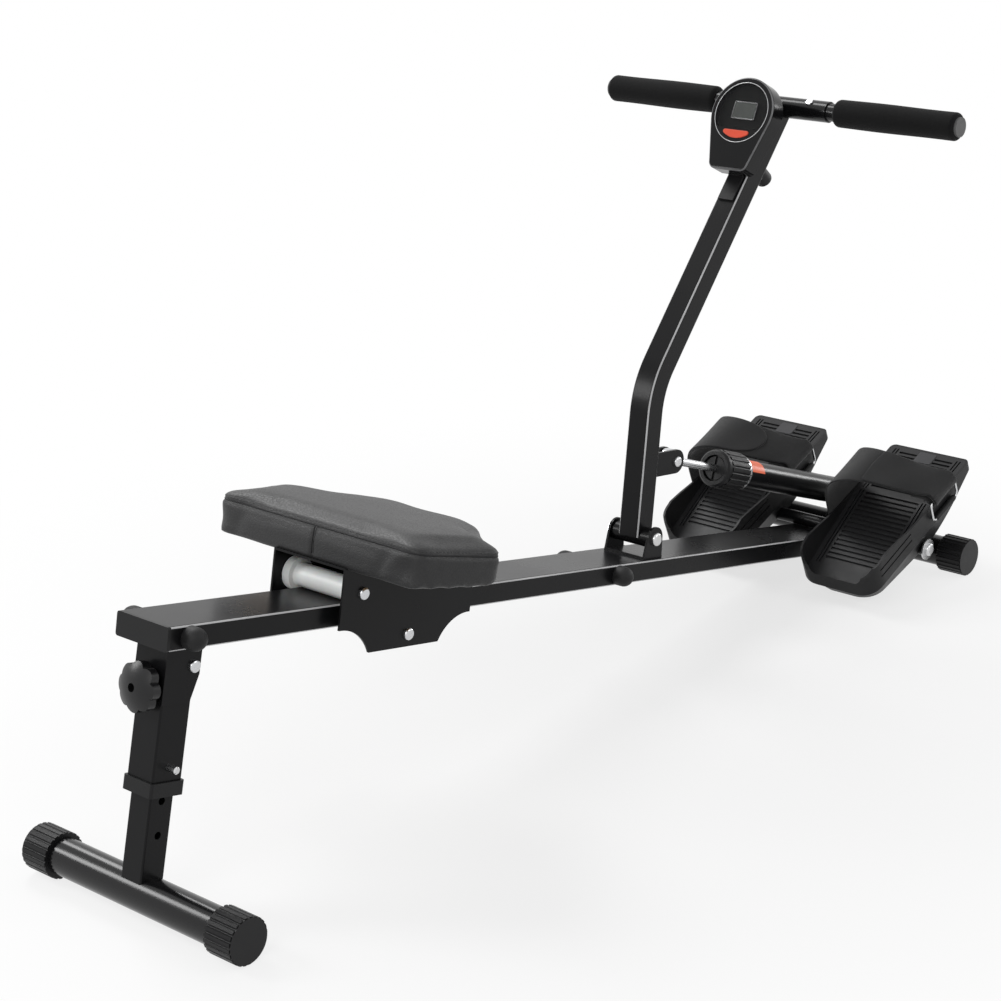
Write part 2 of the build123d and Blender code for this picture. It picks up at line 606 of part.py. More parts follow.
# Column: bent square tube with its bush, tee, bumper and clevis
bends = [(x, 0, z) for x, z in (PIVOT, KNEE, HANDLE)]
path = FilletPolyline(*bends, radius=BEND_R)
column_plane = Plane(origin=path @ 0, x_dir=(0, 1, 0), z_dir=path % 0)
column_outer = sweep(column_plane * RectangleRounded(COLUMN_W, COLUMN_W, COLUMN_EDGE), path=path)
hole_w = COLUMN_W - 2 * COLUMN_WALL
column_inner = sweep(column_plane * RectangleRounded(hole_w, hole_w, COLUMN_EDGE - COLUMN_WALL), path=path)
tee_at = Pos(HANDLE[0], 0, HANDLE[1])
tee_solid = tee_at * across(Circle(T_SLEEVE_D / 2), -COLUMN_W, COLUMN_W)
bush_half = half - BRACKET_WALL - GAP * 2
bush_solid = pivot_at * across(Circle(BUSH_D / 2), -bush_half, bush_half)
nodes["column_tube"] = column_outer - column_inner - tee_solid - bush_solid
nodes["column_bush"] = pivot_at * across(Circle(BUSH_D / 2) - Circle(BOLT_D / 2 + FIT), -bush_half, bush_half)
tee = round_tube(T_SLEEVE_D, (T_SLEEVE_D - GRIP_D) / 2, -T_SLEEVE_LEN / 2, T_SLEEVE_LEN / 2)
grip_half = GRIP_SPAN / 2 - END_PLUG_T
screw_hole = Pos(0, HANDLE_SCREW_Y, T_SLEEVE_D / 2) * Cylinder(SCREW_D / 2, SCREW_LEN)
tee_holes = Rot(0, -SCREW_TURN, 0) * pair(screw_hole)
nodes["handle_tee"] = tee_at * (tee - tee_holes)
bar = round_tube(GRIP_D, GRIP_WALL, -grip_half, grip_half)
nodes["handle_bar"] = tee_at * (bar - tee_holes)
screw = Pos(0, HANDLE_SCREW_Y, (T_SLEEVE_D - SCREW_LEN) / 2) * Cylinder(SCREW_D / 2, SCREW_LEN)
screw_top = Pos(0, HANDLE_SCREW_Y, (T_SLEEVE_D + SCREW_HEAD_H) / 2)
screw = screw + screw_top * Cylinder(SCREW_HEAD_D / 2, SCREW_HEAD_H)
nodes["handle_screws"] = tee_at * Rot(0, -SCREW_TURN, 0) * pair(screw)
foam = across(Circle(FOAM_D / 2) - Circle(GRIP_D / 2), T_SLEEVE_LEN / 2 + FOAM_GAP, grip_half)
rims = [e for e in foam.edges().filter_by(GeomType.CIRCLE) if e.radius > GRIP_D / 2 + TOUCH]
foam = fillet(rims, FOAM_ROUND)
nodes["foam_grip_left"] = tee_at * foam
nodes["foam_grip_right"] = tee_at * mirror(foam, about=Plane.XZ)
end_plug = across(Circle(END_PLUG_D / 2), grip_half, grip_half + END_PLUG_T)
end_plug = end_plug + across(Circle(GRIP_D / 2 - GRIP_WALL), grip_half - END_PLUG_IN, grip_half)
nodes["grip_end_plugs"] = tee_at * pair(end_plug)
bumper_at = Location((HANDLE[0], 0, HANDLE[1]), (0, UPPER_LEAN, 0)) * Pos(COLUMN_W / 2, 0, -BUMPER_DOWN)
bumper = extrude(Circle(BUMPER_D / 2), amount=BUMPER_LEN)
bumper = fillet(bumper.edges().filter_by(GeomType.CIRCLE).sort_by(Axis.Z)[-1], BUMPER_ROUND)
nodes["column_bumper"] = bumper_at * Rot(0, 90, 0) * bumper
lug_reach = LUG_AHEAD * LOWER_DIR[1] - LUG_ABOVE * LOWER_DIR[0] - COLUMN_W / 2
lug_ear = Circle(LUG_R) + Pos(-lug_reach / 2, 0) * Rectangle(lug_reach, 2 * LUG_R) - Circle(PIN_D / 2)
lug_ears = pair(across(lug_ear, LUG_GAP / 2, LUG_GAP / 2 + LUG_EAR))
lug_whole = Pos(LUG_EAR / 2 - lug_reach, 0, 0) * Box(LUG_EAR, LUG_GAP + 2 * LUG_EAR, 2 * LUG_R)
for side in lug_ears.solids():
    lug_whole = lug_whole + side
lug_at = Pos(LUG[0], 0, LUG[1])
nodes["column_clevis"] = lug_at * Rot(0, LOWER_LEAN, 0) * lug_whole
nodes["clevis_bolt"] = lug_at * cross_bolt(PIN_D, LUG_GAP / 2 + LUG_EAR, PIN_D * HEAD_SIZE, PIN_HEAD)

# Hydraulic cylinder on its axis: base eye, tube, scale ring, hub, dial, rod
tube_low = TUBE_LOW
dial_top = STROKE_LEN - DIAL_FACE
dial_low = dial_top - DIAL_LEN
tube_top = dial_top - HUB_SUNK
ring = Circle(TUBE_D / 2) - Circle(TUBE_D / 2 - TUBE_WALL)
nodes["cylinder_tube"] = CYLINDER * Pos(0, 0, tube_low) * extrude(ring, amount=tube_top - tube_low)
eye = across(Circle(BASE_EYE_R), -BASE_EYE_W / 2, BASE_EYE_W / 2)
neck = Pos(0, 0, tube_low / 2) * Box(BASE_EYE_R * BASE_NECK, BASE_EYE_W, tube_low)
plug_in = Pos(0, 0, tube_low) * extrude(Circle(TUBE_D / 2 - TUBE_WALL), amount=BASE_PLUG_IN)
base_disc = Pos(0, 0, tube_low - BASE_DISC_T) * extrude(Circle(TUBE_D / 2), amount=BASE_DISC_T)
eye_hole = across(Circle(PIN_D / 2 + FIT), -BASE_EYE_W, BASE_EYE_W)
nodes["cylinder_base"] = CYLINDER * (eye + neck + plug_in + base_disc - eye_hole)
scale = Circle(DIAL_D / 2 - SCALE_IN) - Circle(TUBE_D / 2)
nodes["scale_ring"] = CYLINDER * Pos(0, 0, dial_low - GAP - SCALE_T) * extrude(scale, amount=SCALE_T)
hub_in = Pos(0, 0, tube_top - HUB_IN) * extrude(Circle(TUBE_D / 2 - TUBE_WALL), amount=HUB_IN)
hub_out = Pos(0, 0, tube_top) * extrude(Circle(HUB_D / 2), amount=HUB_T)
slot = Pos(0, 0, tube_top + HUB_SLOT_H) * Box(2 * HUB_D, HUB_SLOT_W, HUB_SLOT_H)
rod_hole = Pos(0, 0, tube_top) * extrude(Circle(ROD_D / 2 + FIT), amount=2 * HUB_IN, both=True)
nodes["cylinder_hub"] = CYLINDER * (hub_in + hub_out - slot - rod_hole)
flutes = PolarLocations(DIAL_D / 2 + FLUTE_OUT, DIAL_FLUTES) * Circle(FLUTE_R)
dial_body = extrude(Circle(DIAL_D / 2) - flutes, amount=DIAL_LEN - DIAL_RIM)
dial_rim = Pos(0, 0, DIAL_LEN - DIAL_RIM) * extrude(Circle(DIAL_D / 2 - DIAL_STEP), amount=DIAL_RIM)
dial_rim = chamfer(dial_rim.edges().filter_by(GeomType.CIRCLE).sort_by(Axis.Z)[-1], DIAL_CHAMFER)
dial_bore = extrude(Circle(TUBE_D / 2 + GAP), amount=DIAL_LEN - HUB_SUNK + GAP)
dial_face = extrude(Circle(HUB_D / 2 + DIAL_MOUTH), amount=DIAL_LEN)
nodes["resistance_dial"] = CYLINDER * Pos(0, 0, dial_low) * (dial_body + dial_rim - dial_bore - dial_face)
eye_in = PIN_D / 2 + EYE_SLACK
eye_out = eye_in + EYE_WALL
rod_low = tube_low + PISTON_UP
rod_top = STROKE_LEN - eye_out + ROD_IN
piston_ring = Circle(TUBE_D / 2 - TUBE_WALL - FIT) - Circle(ROD_D / 2)
nodes["piston"] = CYLINDER * Pos(0, 0, rod_low) * extrude(piston_ring, amount=PISTON_T)
rod_ring = across(Circle(eye_out) - Circle(eye_in), EYE_SIDE - LUG_GAP / 2, LUG_GAP / 2 - EYE_SIDE)
socket_out = Pos(0, 0, -eye_out - ROD_SOCKET_LOW) * extrude(
    Circle(ROD_D / 2 + ROD_SOCKET_WALL), amount=ROD_SOCKET_LEN)
socket_out = socket_out - across(Circle(eye_in), -LUG_GAP, LUG_GAP)
rod_eye = Pos(0, 0, STROKE_LEN) * (rod_ring + socket_out)
rod = Pos(0, 0, rod_low) * extrude(Circle(ROD_D / 2), amount=rod_top - rod_low)
nodes["piston_rod"] = CYLINDER * (rod + rod_eye)

# Pedals: boat-shaped hull with a heel rim, slotted tread, arched strap and its wire loop
tread_line = [(TOE, TREAD_UP), (TREAD_BREAK, TREAD_UP), (HEEL_TREAD, HEEL_UP), (HEEL, HEEL_UP - HEEL_DROP)]
under_line = [(x, z - TREAD_T) for x, z in tread_line]


def hull_side(inset):
    """The hull's side view, drawn in by a wall."""
    with BuildLine() as outline:
        Polyline(*tread_line, (HEEL, HEEL_UP - CHIN))
        keel = (HEEL + KEEL_REAR, HULL_LOW)
        ThreePointArc((HEEL, HEEL_UP - CHIN), (HEEL + CHIN_AT, HULL_LOW + CHIN_UP), keel)
        Polyline(keel, (KEEL_FRONT, HULL_LOW), (TREAD_BREAK, BELLY), (TOE_LOW, TOE_LOW_UP),
                 (TOE + TOE_LIP, TOE_LIP_UP), tread_line[0])
    face = make_face(outline.line)
    return offset(face, -inset) if inset else face


def hull_plan(inset, tuck=0.0):
    """The hull's outline from above: rounded heel, drawn in by a tuck, and square toe."""
    side = PEDAL_W / 2
    heel_v = side - HEEL_R - tuck
    ends = [Pos(HEEL + HEEL_R + tuck, v) * Circle(HEEL_R - inset) for v in (-heel_v, heel_v)]
    ends += [Pos(TOE - TOE_R, v) * Circle(TOE_R - inset) for v in (TOE_R - side, side - TOE_R)]
    return make_hull([e for c in ends for e in c.edges()])


def upright(sketch):
    """A plan sketch carried far up and down."""
    return extrude(sketch, amount=2 * PEDAL_W, both=True)


def hull_block(inset):
    """The hull's volume: side view, plan and rounded section in common; drawn in, it is open above."""
    side = hull_side(inset)
    if inset:
        side = side + Pos(0, 2 * inset) * side + Pos(0, 4 * inset) * side
    section = RectangleRounded(PEDAL_W - 2 * inset, 2 * PEDAL_W - 2 * inset, HULL_ROUND - inset)
    full = Pos(0, 0, HEEL_UP) * hull_plan(inset)
    bowl = loft([Pos(0, 0, HULL_LOW - inset) * hull_plan(inset, HEEL_TUCK), full], ruled=True)
    body = across(side, -PEDAL_W, PEDAL_W) & (bowl + extrude(full, amount=PEDAL_W))
    return body & extrude(Plane.YZ * Pos(0, HULL_LOW + PEDAL_W) * section, amount=2 * TOE, both=True)


hub_tube = across(Circle(PEDAL_AXLE_D / 2 + HULL_WALL), -PEDAL_W / 2, PEDAL_W / 2)
hub_hole = across(Circle(PEDAL_AXLE_D / 2 + FIT), -PEDAL_W, PEDAL_W)
rim_line = [(HEEL, HEEL_UP - HEEL_DROP), (HEEL + RIM_FOOT_AT, HEEL_UP + RIM_FOOT_UP),
            (HEEL + RIM_BEND_AT, RIM_UP - RIM_BEND_DOWN), (HEEL + RIM_TOP_AT, RIM_UP),
            (HEEL + RIM_BACK_AT, RIM_UP - RIM_BACK_DOWN), (HEEL + RIM_END_AT, TREAD_UP + RIM_END_UP),
            (TREAD_BREAK, TREAD_UP)]
rim_wall = across(sheet(rim_line + tread_line[2:3]), -PEDAL_W, PEDAL_W)
rim_wall = rim_wall & upright(hull_plan(0) - hull_plan(HULL_WALL))
hull = hull_block(0) - hull_block(HULL_WALL)
hull = hull + (hub_tube & hull_block(0))
for side in rim_wall.solids():
    hull = hull + side
band = sheet(tread_line + list(reversed(under_line)))
tread = across(band, -PEDAL_W, PEDAL_W) & upright(hull_plan(HULL_WALL + TOUCH))
hull = largest(hull - hub_hole - tread)
heel_turn = degrees(atan2(TREAD_UP - HEEL_UP, TREAD_BREAK - HEEL_TREAD))
heel_run = hypot(TREAD_UP - HEEL_UP, TREAD_BREAK - HEEL_TREAD)
heel_at = Pos(TREAD_BREAK, 0, TREAD_UP) * Rot(0, -heel_turn, 0)
slots = []
for n in range(1, int((TOE - TREAD_BREAK) / SLOT_PITCH)):
    slots.append(Pos(TREAD_BREAK + n * SLOT_PITCH, 0, TREAD_UP) * Box(SLOT_W, SLOT_LEN, 2 * SLOT_DEEP))
for n in range(1, int(heel_run / SLOT_PITCH)):
    slots.append(heel_at * Pos(-n * SLOT_PITCH, 0, 0) * Box(SLOT_W, SLOT_LEN, 2 * SLOT_DEEP))
for v in (-1, 1):
    for step in (1, 2):
        edge = v * (SLOT_LEN / 2 + step * SLOT_PITCH * EDGE_SHARE)
        toe_run = TOE - TREAD_BREAK - SLOT_PITCH
        slots.append(Pos(TREAD_BREAK + toe_run / 2, edge, TREAD_UP) * Box(toe_run, SLOT_DEEP, 2 * SLOT_DEEP))
        heel_slot = Box(heel_run - SLOT_PITCH, SLOT_DEEP, 2 * SLOT_DEEP)
        slots.append(heel_at * Pos(-heel_run / 2, edge, 0) * heel_slot)
tab = Pos(TOE - TAB_IN - TAB_LEN / 2, 0, TREAD_UP - TREAD_T / 2) * Box(TAB_LEN, TAB_W, TREAD_T)
tread = tread - slots + tab
groove_mid = -(GROOVE_REAR + GROOVE_FRONT) / 2
for v in (-1, 1):
    for n in range(GROOVES):
        groove_at = Pos(groove_mid, v * PEDAL_W / 2, RIM_UP - GROOVE_DOWN - n * GROOVE_PITCH)
        hull = hull - groove_at * Box(GROOVE_REAR - GROOVE_FRONT, 2 * GROOVE_DEEP, GROOVE_W)
hull = largest(hull)

wall_v = PEDAL_W / 2 + GAP + STRAP_T / 2
arch = [(wall_v, STRAP_FOOT), (wall_v, STRAP_TOP - STRAP_WALL_DOWN),
        (wall_v - SHOULDER_IN, STRAP_TOP - SHOULDER_DOWN), (CROWN_AT, STRAP_TOP),
        (-FALL_AT, STRAP_TOP - FALL_DOWN), (-wall_v, STRAP_END + STRAP_END_RUN), (-wall_v, STRAP_END)]
strap_band = make_face(offset(FilletPolyline(*arch, radius=STRAP_BEND), STRAP_T / 2, side=Side.BOTH).edges())
strap = extrude(Plane.YZ * strap_band, amount=TOE, both=True)
out_v = wall_v + STRAP_T


def strap_edge(side):
    """One edge of the strap's plan: three points on a bowed, slanting line."""
    foot = (STRAP_FOOT_AT + side * STRAP_FOOT_W / 2, out_v)
    middle = (STRAP_AT + side * STRAP_MID_W / 2, 0)
    return foot, middle, (STRAP_END_AT + side * STRAP_W / 2, -out_v)


with BuildLine() as strap_plan:
    rear_edge = ThreePointArc(*strap_edge(-1))
    front_edge = ThreePointArc(*strap_edge(1))
    Line(rear_edge @ 0, front_edge @ 0)
    Line(rear_edge @ 1, front_edge @ 1)
strap = largest(strap & upright(make_face(strap_plan.line)))
loop_w, loop_h = STRAP_W + 2 * WIRE_D, STRAP_W / 2
loop = fillet(Rectangle(loop_w, loop_h).vertices(), 2 * WIRE_D).wire()
wire_start = Plane(origin=(loop_w / 2, 0, 0), x_dir=(1, 0, 0), z_dir=(0, 0, 1))
wire = sweep(wire_start * Circle(WIRE_D / 2), path=Plane.XZ * loop)
loop_at = Pos(STRAP_END_AT, -wall_v - (STRAP_T + WIRE_D) / 2 - GAP, STRAP_END + WIRE_D)
for side, y in (("left", PEDAL_Y), ("right", -PEDAL_Y)):
    for name, shape in (("hull", hull), ("tread", tread), ("strap", strap), ("buckle", loop_at * wire)):
        nodes[f"pedal_{name}_{side}"] = Pos(0, y, 0) * PEDAL * shape

# Console on a tongue on the column's rear face
lean = radians(UPPER_LEAN - CONSOLE_TILT)
face_up = (sin(lean), 0, cos(lean))
face_out = (-cos(lean), 0, sin(lean))
rear_out = (-cos(radians(UPPER_LEAN)), sin(radians(UPPER_LEAN)))
off = COLUMN_W / 2 + CONSOLE_OFF
face_at = (KNEE[0] + CONSOLE_ALONG * UPPER_DIR[0] + off * rear_out[0], 0,
           KNEE[1] + CONSOLE_ALONG * UPPER_DIR[1] + off * rear_out[1])
FACE = Plane(origin=face_at, x_dir=(0, -1, 0), z_dir=face_out)


def face_outline(inset):
    """The console's outline: round head, narrower foot."""
    rounds = [Pos(0, FACE_MID) * Circle(FACE_R - inset)]
    rounds += [Pos(x, FOOT_R) * Circle(FOOT_R - inset) for x in (-FOOT_X, FOOT_X)]
    return make_hull([e for c in rounds for e in c.edges()])


shell = extrude(face_outline(0), amount=-SHELL_D)
shell = fillet(shell.faces().sort_by(Axis.Z)[-1].edges(), SHELL_ROUND)
shell = shell - Pos(0, 0, -SHELL_WALL) * extrude(face_outline(SHELL_WALL), amount=-SHELL_D)
dial_hole = Pos(0, FACE_MID) * Circle(RING_R)
below = Pos(0, FACE_MID - CHORD_DOWN - RING_R) * Rectangle(4 * RING_R, 2 * RING_R)
lens = dial_hole - Pos(0, BRIDGE_W / 2) * below
key_hole = Pos(0, FACE_MID) * Circle(RING_R - KEY_IN) & Pos(0, -BRIDGE_W / 2) * below
key_hole = fillet(key_hole.vertices(), KEY_ROUND)
shell = shell - extrude(lens, amount=-SHELL_WALL * 2) - extrude(key_hole, amount=-SHELL_WALL * 2)
nodes["console_shell"] = FACE * shell
board_z = -SHELL_WALL - LCD_DEEP - LCD_T - BOARD_THIN
post = extrude(Circle(POST_R), amount=SHELL_D + board_z)
posts = [Pos(0, FACE_MID, -SHELL_D) * spot * post for spot in PolarLocations(RING_R - 2 * POST_R, POSTS)]
back = Pos(0, 0, -SHELL_D - SHELL_WALL) * extrude(face_outline(0), amount=SHELL_WALL) + posts
lip = extrude(face_outline(SHELL_WALL) - face_outline(2 * SHELL_WALL), amount=LIP_H)
back = back + Pos(0, 0, -SHELL_D) * lip
nodes["console_back"] = FACE * back
nodes["console_window"] = FACE * Pos(0, 0, -SHELL_WALL) * extrude(lens, amount=WINDOW_T)
lcd = Pos(0, FACE_MID + LCD_RISE, board_z + BOARD_THIN) * extrude(Rectangle(LCD_W, LCD_H), amount=LCD_T)
nodes["console_lcd"] = FACE * lcd
nodes["circuit_board"] = FACE * Pos(0, FACE_MID, board_z) * extrude(Circle(RING_R), amount=BOARD_THIN)
key = Pos(0, 0, -BUTTON_T) * extrude(offset(key_hole, -GAP), amount=BUTTON_T + KEY_PROUD)
nodes["console_button"] = FACE * fillet(key.faces().sort_by(Axis.Z)[-1].edges(), KEY_EDGE)
tongue_at = Pos(-COLUMN_W / 2 - TONGUE_T / 2, 0, CONSOLE_ALONG - TONGUE_DOWN)
tongue = tongue_at * Box(TONGUE_T, TONGUE_W, TONGUE_LEN)
tongue_out = -COLUMN_W / 2 - TONGUE_T
wedge_low, wedge_top = CONSOLE_ALONG + WEDGE_LOW, CONSOLE_ALONG + WEDGE_TOP
wedge = sheet([(tongue_out, wedge_low), (tongue_out, CONSOLE_ALONG + WEDGE_MID), (-COLUMN_W, wedge_top),
               (-COLUMN_W - WEDGE_TOP_OUT, wedge_top), (-COLUMN_W - WEDGE_LOW_OUT, wedge_low)])
bracket = COLUMN * (tongue + across(wedge, -TONGUE_W / 2, TONGUE_W / 2))
console_block = FACE * Pos(0, 0, -SHELL_D - SHELL_WALL) * extrude(face_outline(0), amount=2 * FACE_R)
nodes["console_tongue"] = largest(bracket - console_block)

# Put the origin under the middle of the machine and write every piece
boxes = [shape.bounding_box() for shape in nodes.values()]
middle = (min(b.min.X for b in boxes) + max(b.max.X for b in boxes)) / 2
os.makedirs("parts", exist_ok=True)
for name, shape in nodes.items():
    export_step(Pos(-middle, 0, 0) * shape, f"parts/{name}.step")
print("middle", middle, "nodes", len(nodes))
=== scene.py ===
"""Looks of a hydraulic rowing machine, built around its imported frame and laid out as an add-on."""
import json
import math

import bmesh
import bpy
import numpy as np
from bpy.props import FloatProperty, FloatVectorProperty, IntProperty, PointerProperty
from mathutils import Euler, Matrix, Vector

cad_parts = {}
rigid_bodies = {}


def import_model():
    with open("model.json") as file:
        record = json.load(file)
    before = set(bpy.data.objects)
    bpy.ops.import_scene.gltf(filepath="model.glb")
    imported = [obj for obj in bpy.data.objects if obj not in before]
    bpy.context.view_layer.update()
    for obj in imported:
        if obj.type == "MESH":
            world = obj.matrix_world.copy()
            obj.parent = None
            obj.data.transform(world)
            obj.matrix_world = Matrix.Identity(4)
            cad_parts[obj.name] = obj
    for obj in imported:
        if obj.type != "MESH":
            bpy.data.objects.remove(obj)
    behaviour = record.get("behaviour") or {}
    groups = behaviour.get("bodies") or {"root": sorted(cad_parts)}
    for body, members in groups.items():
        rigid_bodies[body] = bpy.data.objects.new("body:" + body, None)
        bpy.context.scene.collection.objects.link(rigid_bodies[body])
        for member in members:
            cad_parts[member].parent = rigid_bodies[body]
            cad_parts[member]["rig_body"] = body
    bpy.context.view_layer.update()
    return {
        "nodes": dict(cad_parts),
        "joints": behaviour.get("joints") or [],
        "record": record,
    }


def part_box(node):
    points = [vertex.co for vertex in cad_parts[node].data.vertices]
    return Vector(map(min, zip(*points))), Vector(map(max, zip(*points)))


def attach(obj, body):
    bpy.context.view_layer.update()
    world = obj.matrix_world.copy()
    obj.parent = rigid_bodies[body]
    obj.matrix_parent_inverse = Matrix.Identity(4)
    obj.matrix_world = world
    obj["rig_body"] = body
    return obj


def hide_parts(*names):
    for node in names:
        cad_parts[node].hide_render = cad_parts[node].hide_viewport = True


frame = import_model()
NODES = frame["nodes"]
JOINTS = {joint["name"]: joint for joint in frame["joints"]}
SLOT_OF = {part["node"]: part["material_slot"] for part in frame["record"]["subparts"]}

bl_info = {
    "name": "Rowing machine looks",
    "version": (1, 0, 0),
    "blender": (4, 5, 0),
    "location": "View3D > Sidebar > Rower",
    "description": "Cushion, grips, straps, finishes and studio for a packed rowing machine",
    "category": "Object",
}


# Properties that a user would change

def length(name, description, default):
    """A size in metres."""
    return FloatProperty(name=name, description=description, default=default, unit="LENGTH", precision=4)


def colour(name, description, default):
    """A linear colour."""
    return FloatVectorProperty(name=name, description=description, default=default, subtype="COLOR", size=3,
                               min=0.0, max=1.0)


class RowerSizes(bpy.types.PropertyGroup):
    """Sizes of the soft and fine pieces"""
    voxel: length("Cushion cell", "Grid of the cushion before it is stuffed", 0.005)
    slack: length("Cushion slack", "How much smaller the cover is cut than the pad", 0.002)
    swell: length("Cushion swell", "Furthest that stuffing moves the cover", 0.004)
    seam_drop: length("Seam drop", "Depth of the sewn seam under the cushion's crown", 0.0165)
    welt: length("Welt radius", "Radius of the dark fold along the seam", 0.0009)
    stitch: length("Stitch pitch", "Distance from one stitch to the next", 0.0045)
    strap_thick: length("Strap thickness", "Thickness of the strap", 0.0026)
    foam_round: length("Grip rounding", "Rounding of the foam's ends", 0.005)
    soft_angle: FloatProperty(name="Soft angle", description="Faces that meet flatter than this are shaded soft",
                              default=math.radians(28), subtype="ANGLE")
    evening: IntProperty(name="Evening", description="Passes that even the stuffing's lumps", default=14)
    frames: IntProperty(name="Stuffing steps", description="Steps of the stuffing simulation", default=20)


class RowerColours(bpy.types.PropertyGroup):
    """Base colours of the finishes"""
    paint: colour("Frame paint", "Powder coat of the steel", (0.0055, 0.0055, 0.006))
    # painted highlight: a pale colour laid on the tubes' rounded corners in place of a lamp's glint
    edge: colour("Edge gloss", "Glint along the tubes' rounded corners", (0.80, 0.80, 0.81))
    plastic: colour("Caps", "Moulded end caps and knob", (0.0065, 0.0065, 0.007))
    pedal: colour("Pedals", "Moulded pedals", (0.0105, 0.0105, 0.011))
    leather: colour("Leatherette", "Cover of the seat", (0.017, 0.017, 0.0175))
    foam: colour("Foam", "Handlebar foam", (0.0060, 0.0060, 0.0062))
    strap: colour("Strap", "Pedal straps", (0.0155, 0.0155, 0.016))
    steel: colour("Bright steel", "Bolts, rod and wire", (0.62, 0.62, 0.63))
    nylon: colour("Rollers", "Nylon seat rollers", (0.90, 0.90, 0.885))
    button: colour("Button", "Console button", (0.78, 0.075, 0.030))
    sticker: colour("Sticker", "Plain sticker on the damper", (0.80, 0.12, 0.035))
    floor: colour("Floor", "Studio floor", (0.80, 0.80, 0.80))


class RowerStage(bpy.types.PropertyGroup):
    """Camera and studio"""
    eye: FloatVectorProperty(name="Eye", description="Place of the camera", unit="LENGTH", size=3,
                             default=(-1.896124, -1.606951, 1.151628))
    turn: FloatVectorProperty(name="Turn", description="Turn of the camera", subtype="EULER", size=3,
                              default=(math.radians(70.25486), math.radians(1.46686), math.radians(-50.08708)))
    lens: FloatProperty(name="Lens", description="Focal length in millimetres", default=81.523)
    shift: FloatVectorProperty(name="Shift", description="Shift of the lens, in frame widths", size=2,
                               default=(-0.0446, -0.0097))
    daylight: FloatProperty(name="Daylight", description="Strength of the even light", default=0.42)


# Meshes and arrays

def read(items, key, width=3, kind=float):
    """One value of every item of a mesh, as an array with a row for each."""
    values = np.empty(len(items) * width, kind)
    items.foreach_get(key, values)
    return values.reshape(-1, width)


def read_points(mesh):
    """A mesh's vertices as an array."""
    return read(mesh.vertices, "co")


def move_points(mesh, points):
    """Put a mesh's vertices at new places."""
    mesh.vertices.foreach_set("co", points.ravel())
    mesh.update()


def circle(count):
    """Even angles round a full turn."""
    return np.linspace(0, 2 * np.pi, count, endpoint=False)


def swing(turn, first, second):
    """Directions at angles from a first one towards a second one, square to it."""
    return np.cos(turn)[..., None] * first + np.sin(turn)[..., None] * second


def spokes(count):
    """Points at even angles on a flat circle of radius one."""
    return np.stack([np.cos(circle(count)), np.sin(circle(count))], 1)


def unit(rows):
    """Rows brought to a length of one."""
    return rows / np.linalg.norm(rows, axis=1, keepdims=True)


def headings(path):
    """Directions of a closed path at its points."""
    return unit(np.roll(path, -1, 0) - np.roll(path, 1, 0))


def grid_quads(rows, columns, wrap_rows=False, wrap_columns=True):
    """Corner numbers of a grid's quads, with either direction closed on itself."""
    r = np.arange(rows if wrap_rows else rows - 1)[:, None]
    c = np.arange(columns if wrap_columns else columns - 1)[None, :]
    r2, c2 = (r + 1) % rows, (c + 1) % columns
    corners = np.broadcast_arrays(r * columns + c, r * columns + c2, r2 * columns + c2, r2 * columns + c)
    return np.stack(corners, -1).reshape(-1, 4)


def many_grids(points, wrap):
    """Points and faces of many small grids, from an array of grids by rows by columns by 3."""
    count, rows, columns = points.shape[:3]
    quads = grid_quads(rows, columns, wrap_columns=wrap)
    return points.reshape(-1, 3), (np.arange(count)[:, None, None] * rows * columns + quads).reshape(-1, 4)


def linked(name, data):
    """A new object in the scene."""
    thing = bpy.data.objects.new(name, data)
    bpy.context.scene.collection.objects.link(thing)
    return thing


def add_piece(name, points, faces, body, slot, finish=None):
    """Put arrays into a new mesh object that rides on a body, with its slot's finish or another."""
    mesh = bpy.data.meshes.new(name)
    mesh.from_pydata(np.asarray(points).reshape(-1, 3).tolist(), [], [list(map(int, f)) for f in faces])
    mesh.update()
    mesh.materials.append(finish_of(finish or slot))
    mesh.shade_smooth()
    piece = linked(name, mesh)
    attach(piece, body)
    return piece


def loft_piece(name, rings, body, slot, finish=None, wrap=False):
    """Skin a stack of closed rings, an array of rings by points by 3; ends are capped unless it wraps."""
    rows, columns = rings.shape[:2]
    points = rings.reshape(-1, 3)
    quads = grid_quads(rows, columns, wrap_rows=wrap)
    faces = quads.tolist()
    if not wrap:
        faces += [list(range(columns))[::-1], list(range((rows - 1) * columns, rows * columns))]
    a, b, c, d = points[quads.T]
    if (a * np.cross(b, c)).sum() + (a * np.cross(c, d)).sum() <= 0:  # signed volume: the faces look inward
        faces = [face[::-1] for face in faces]
    return add_piece(name, points, faces, body, slot, finish)


def merged_copy(node, name):
    """A copy of a node's mesh with its loose triangles joined."""
    mesh = NODES[node].data.copy()
    mesh.name = name
    custom = mesh.attributes.get("custom_normal")
    if custom:
        mesh.attributes.remove(custom)
    shape = bmesh.new()
    shape.from_mesh(mesh)
    bmesh.ops.remove_doubles(shape, verts=shape.verts, dist=1e-6)
    shape.to_mesh(mesh)
    shape.free()
    return mesh


def applied(piece):
    """Replace a piece's mesh by what its modifiers make of it."""
    bpy.context.view_layer.update()
    seen = piece.evaluated_get(bpy.context.evaluated_depsgraph_get())
    mesh = bpy.data.meshes.new_from_object(seen)
    old = piece.data
    piece.modifiers.clear()
    piece.data = mesh
    bpy.data.meshes.remove(old)
    return piece


# Frames of the sloping groups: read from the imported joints, and the pedals' lift at rest

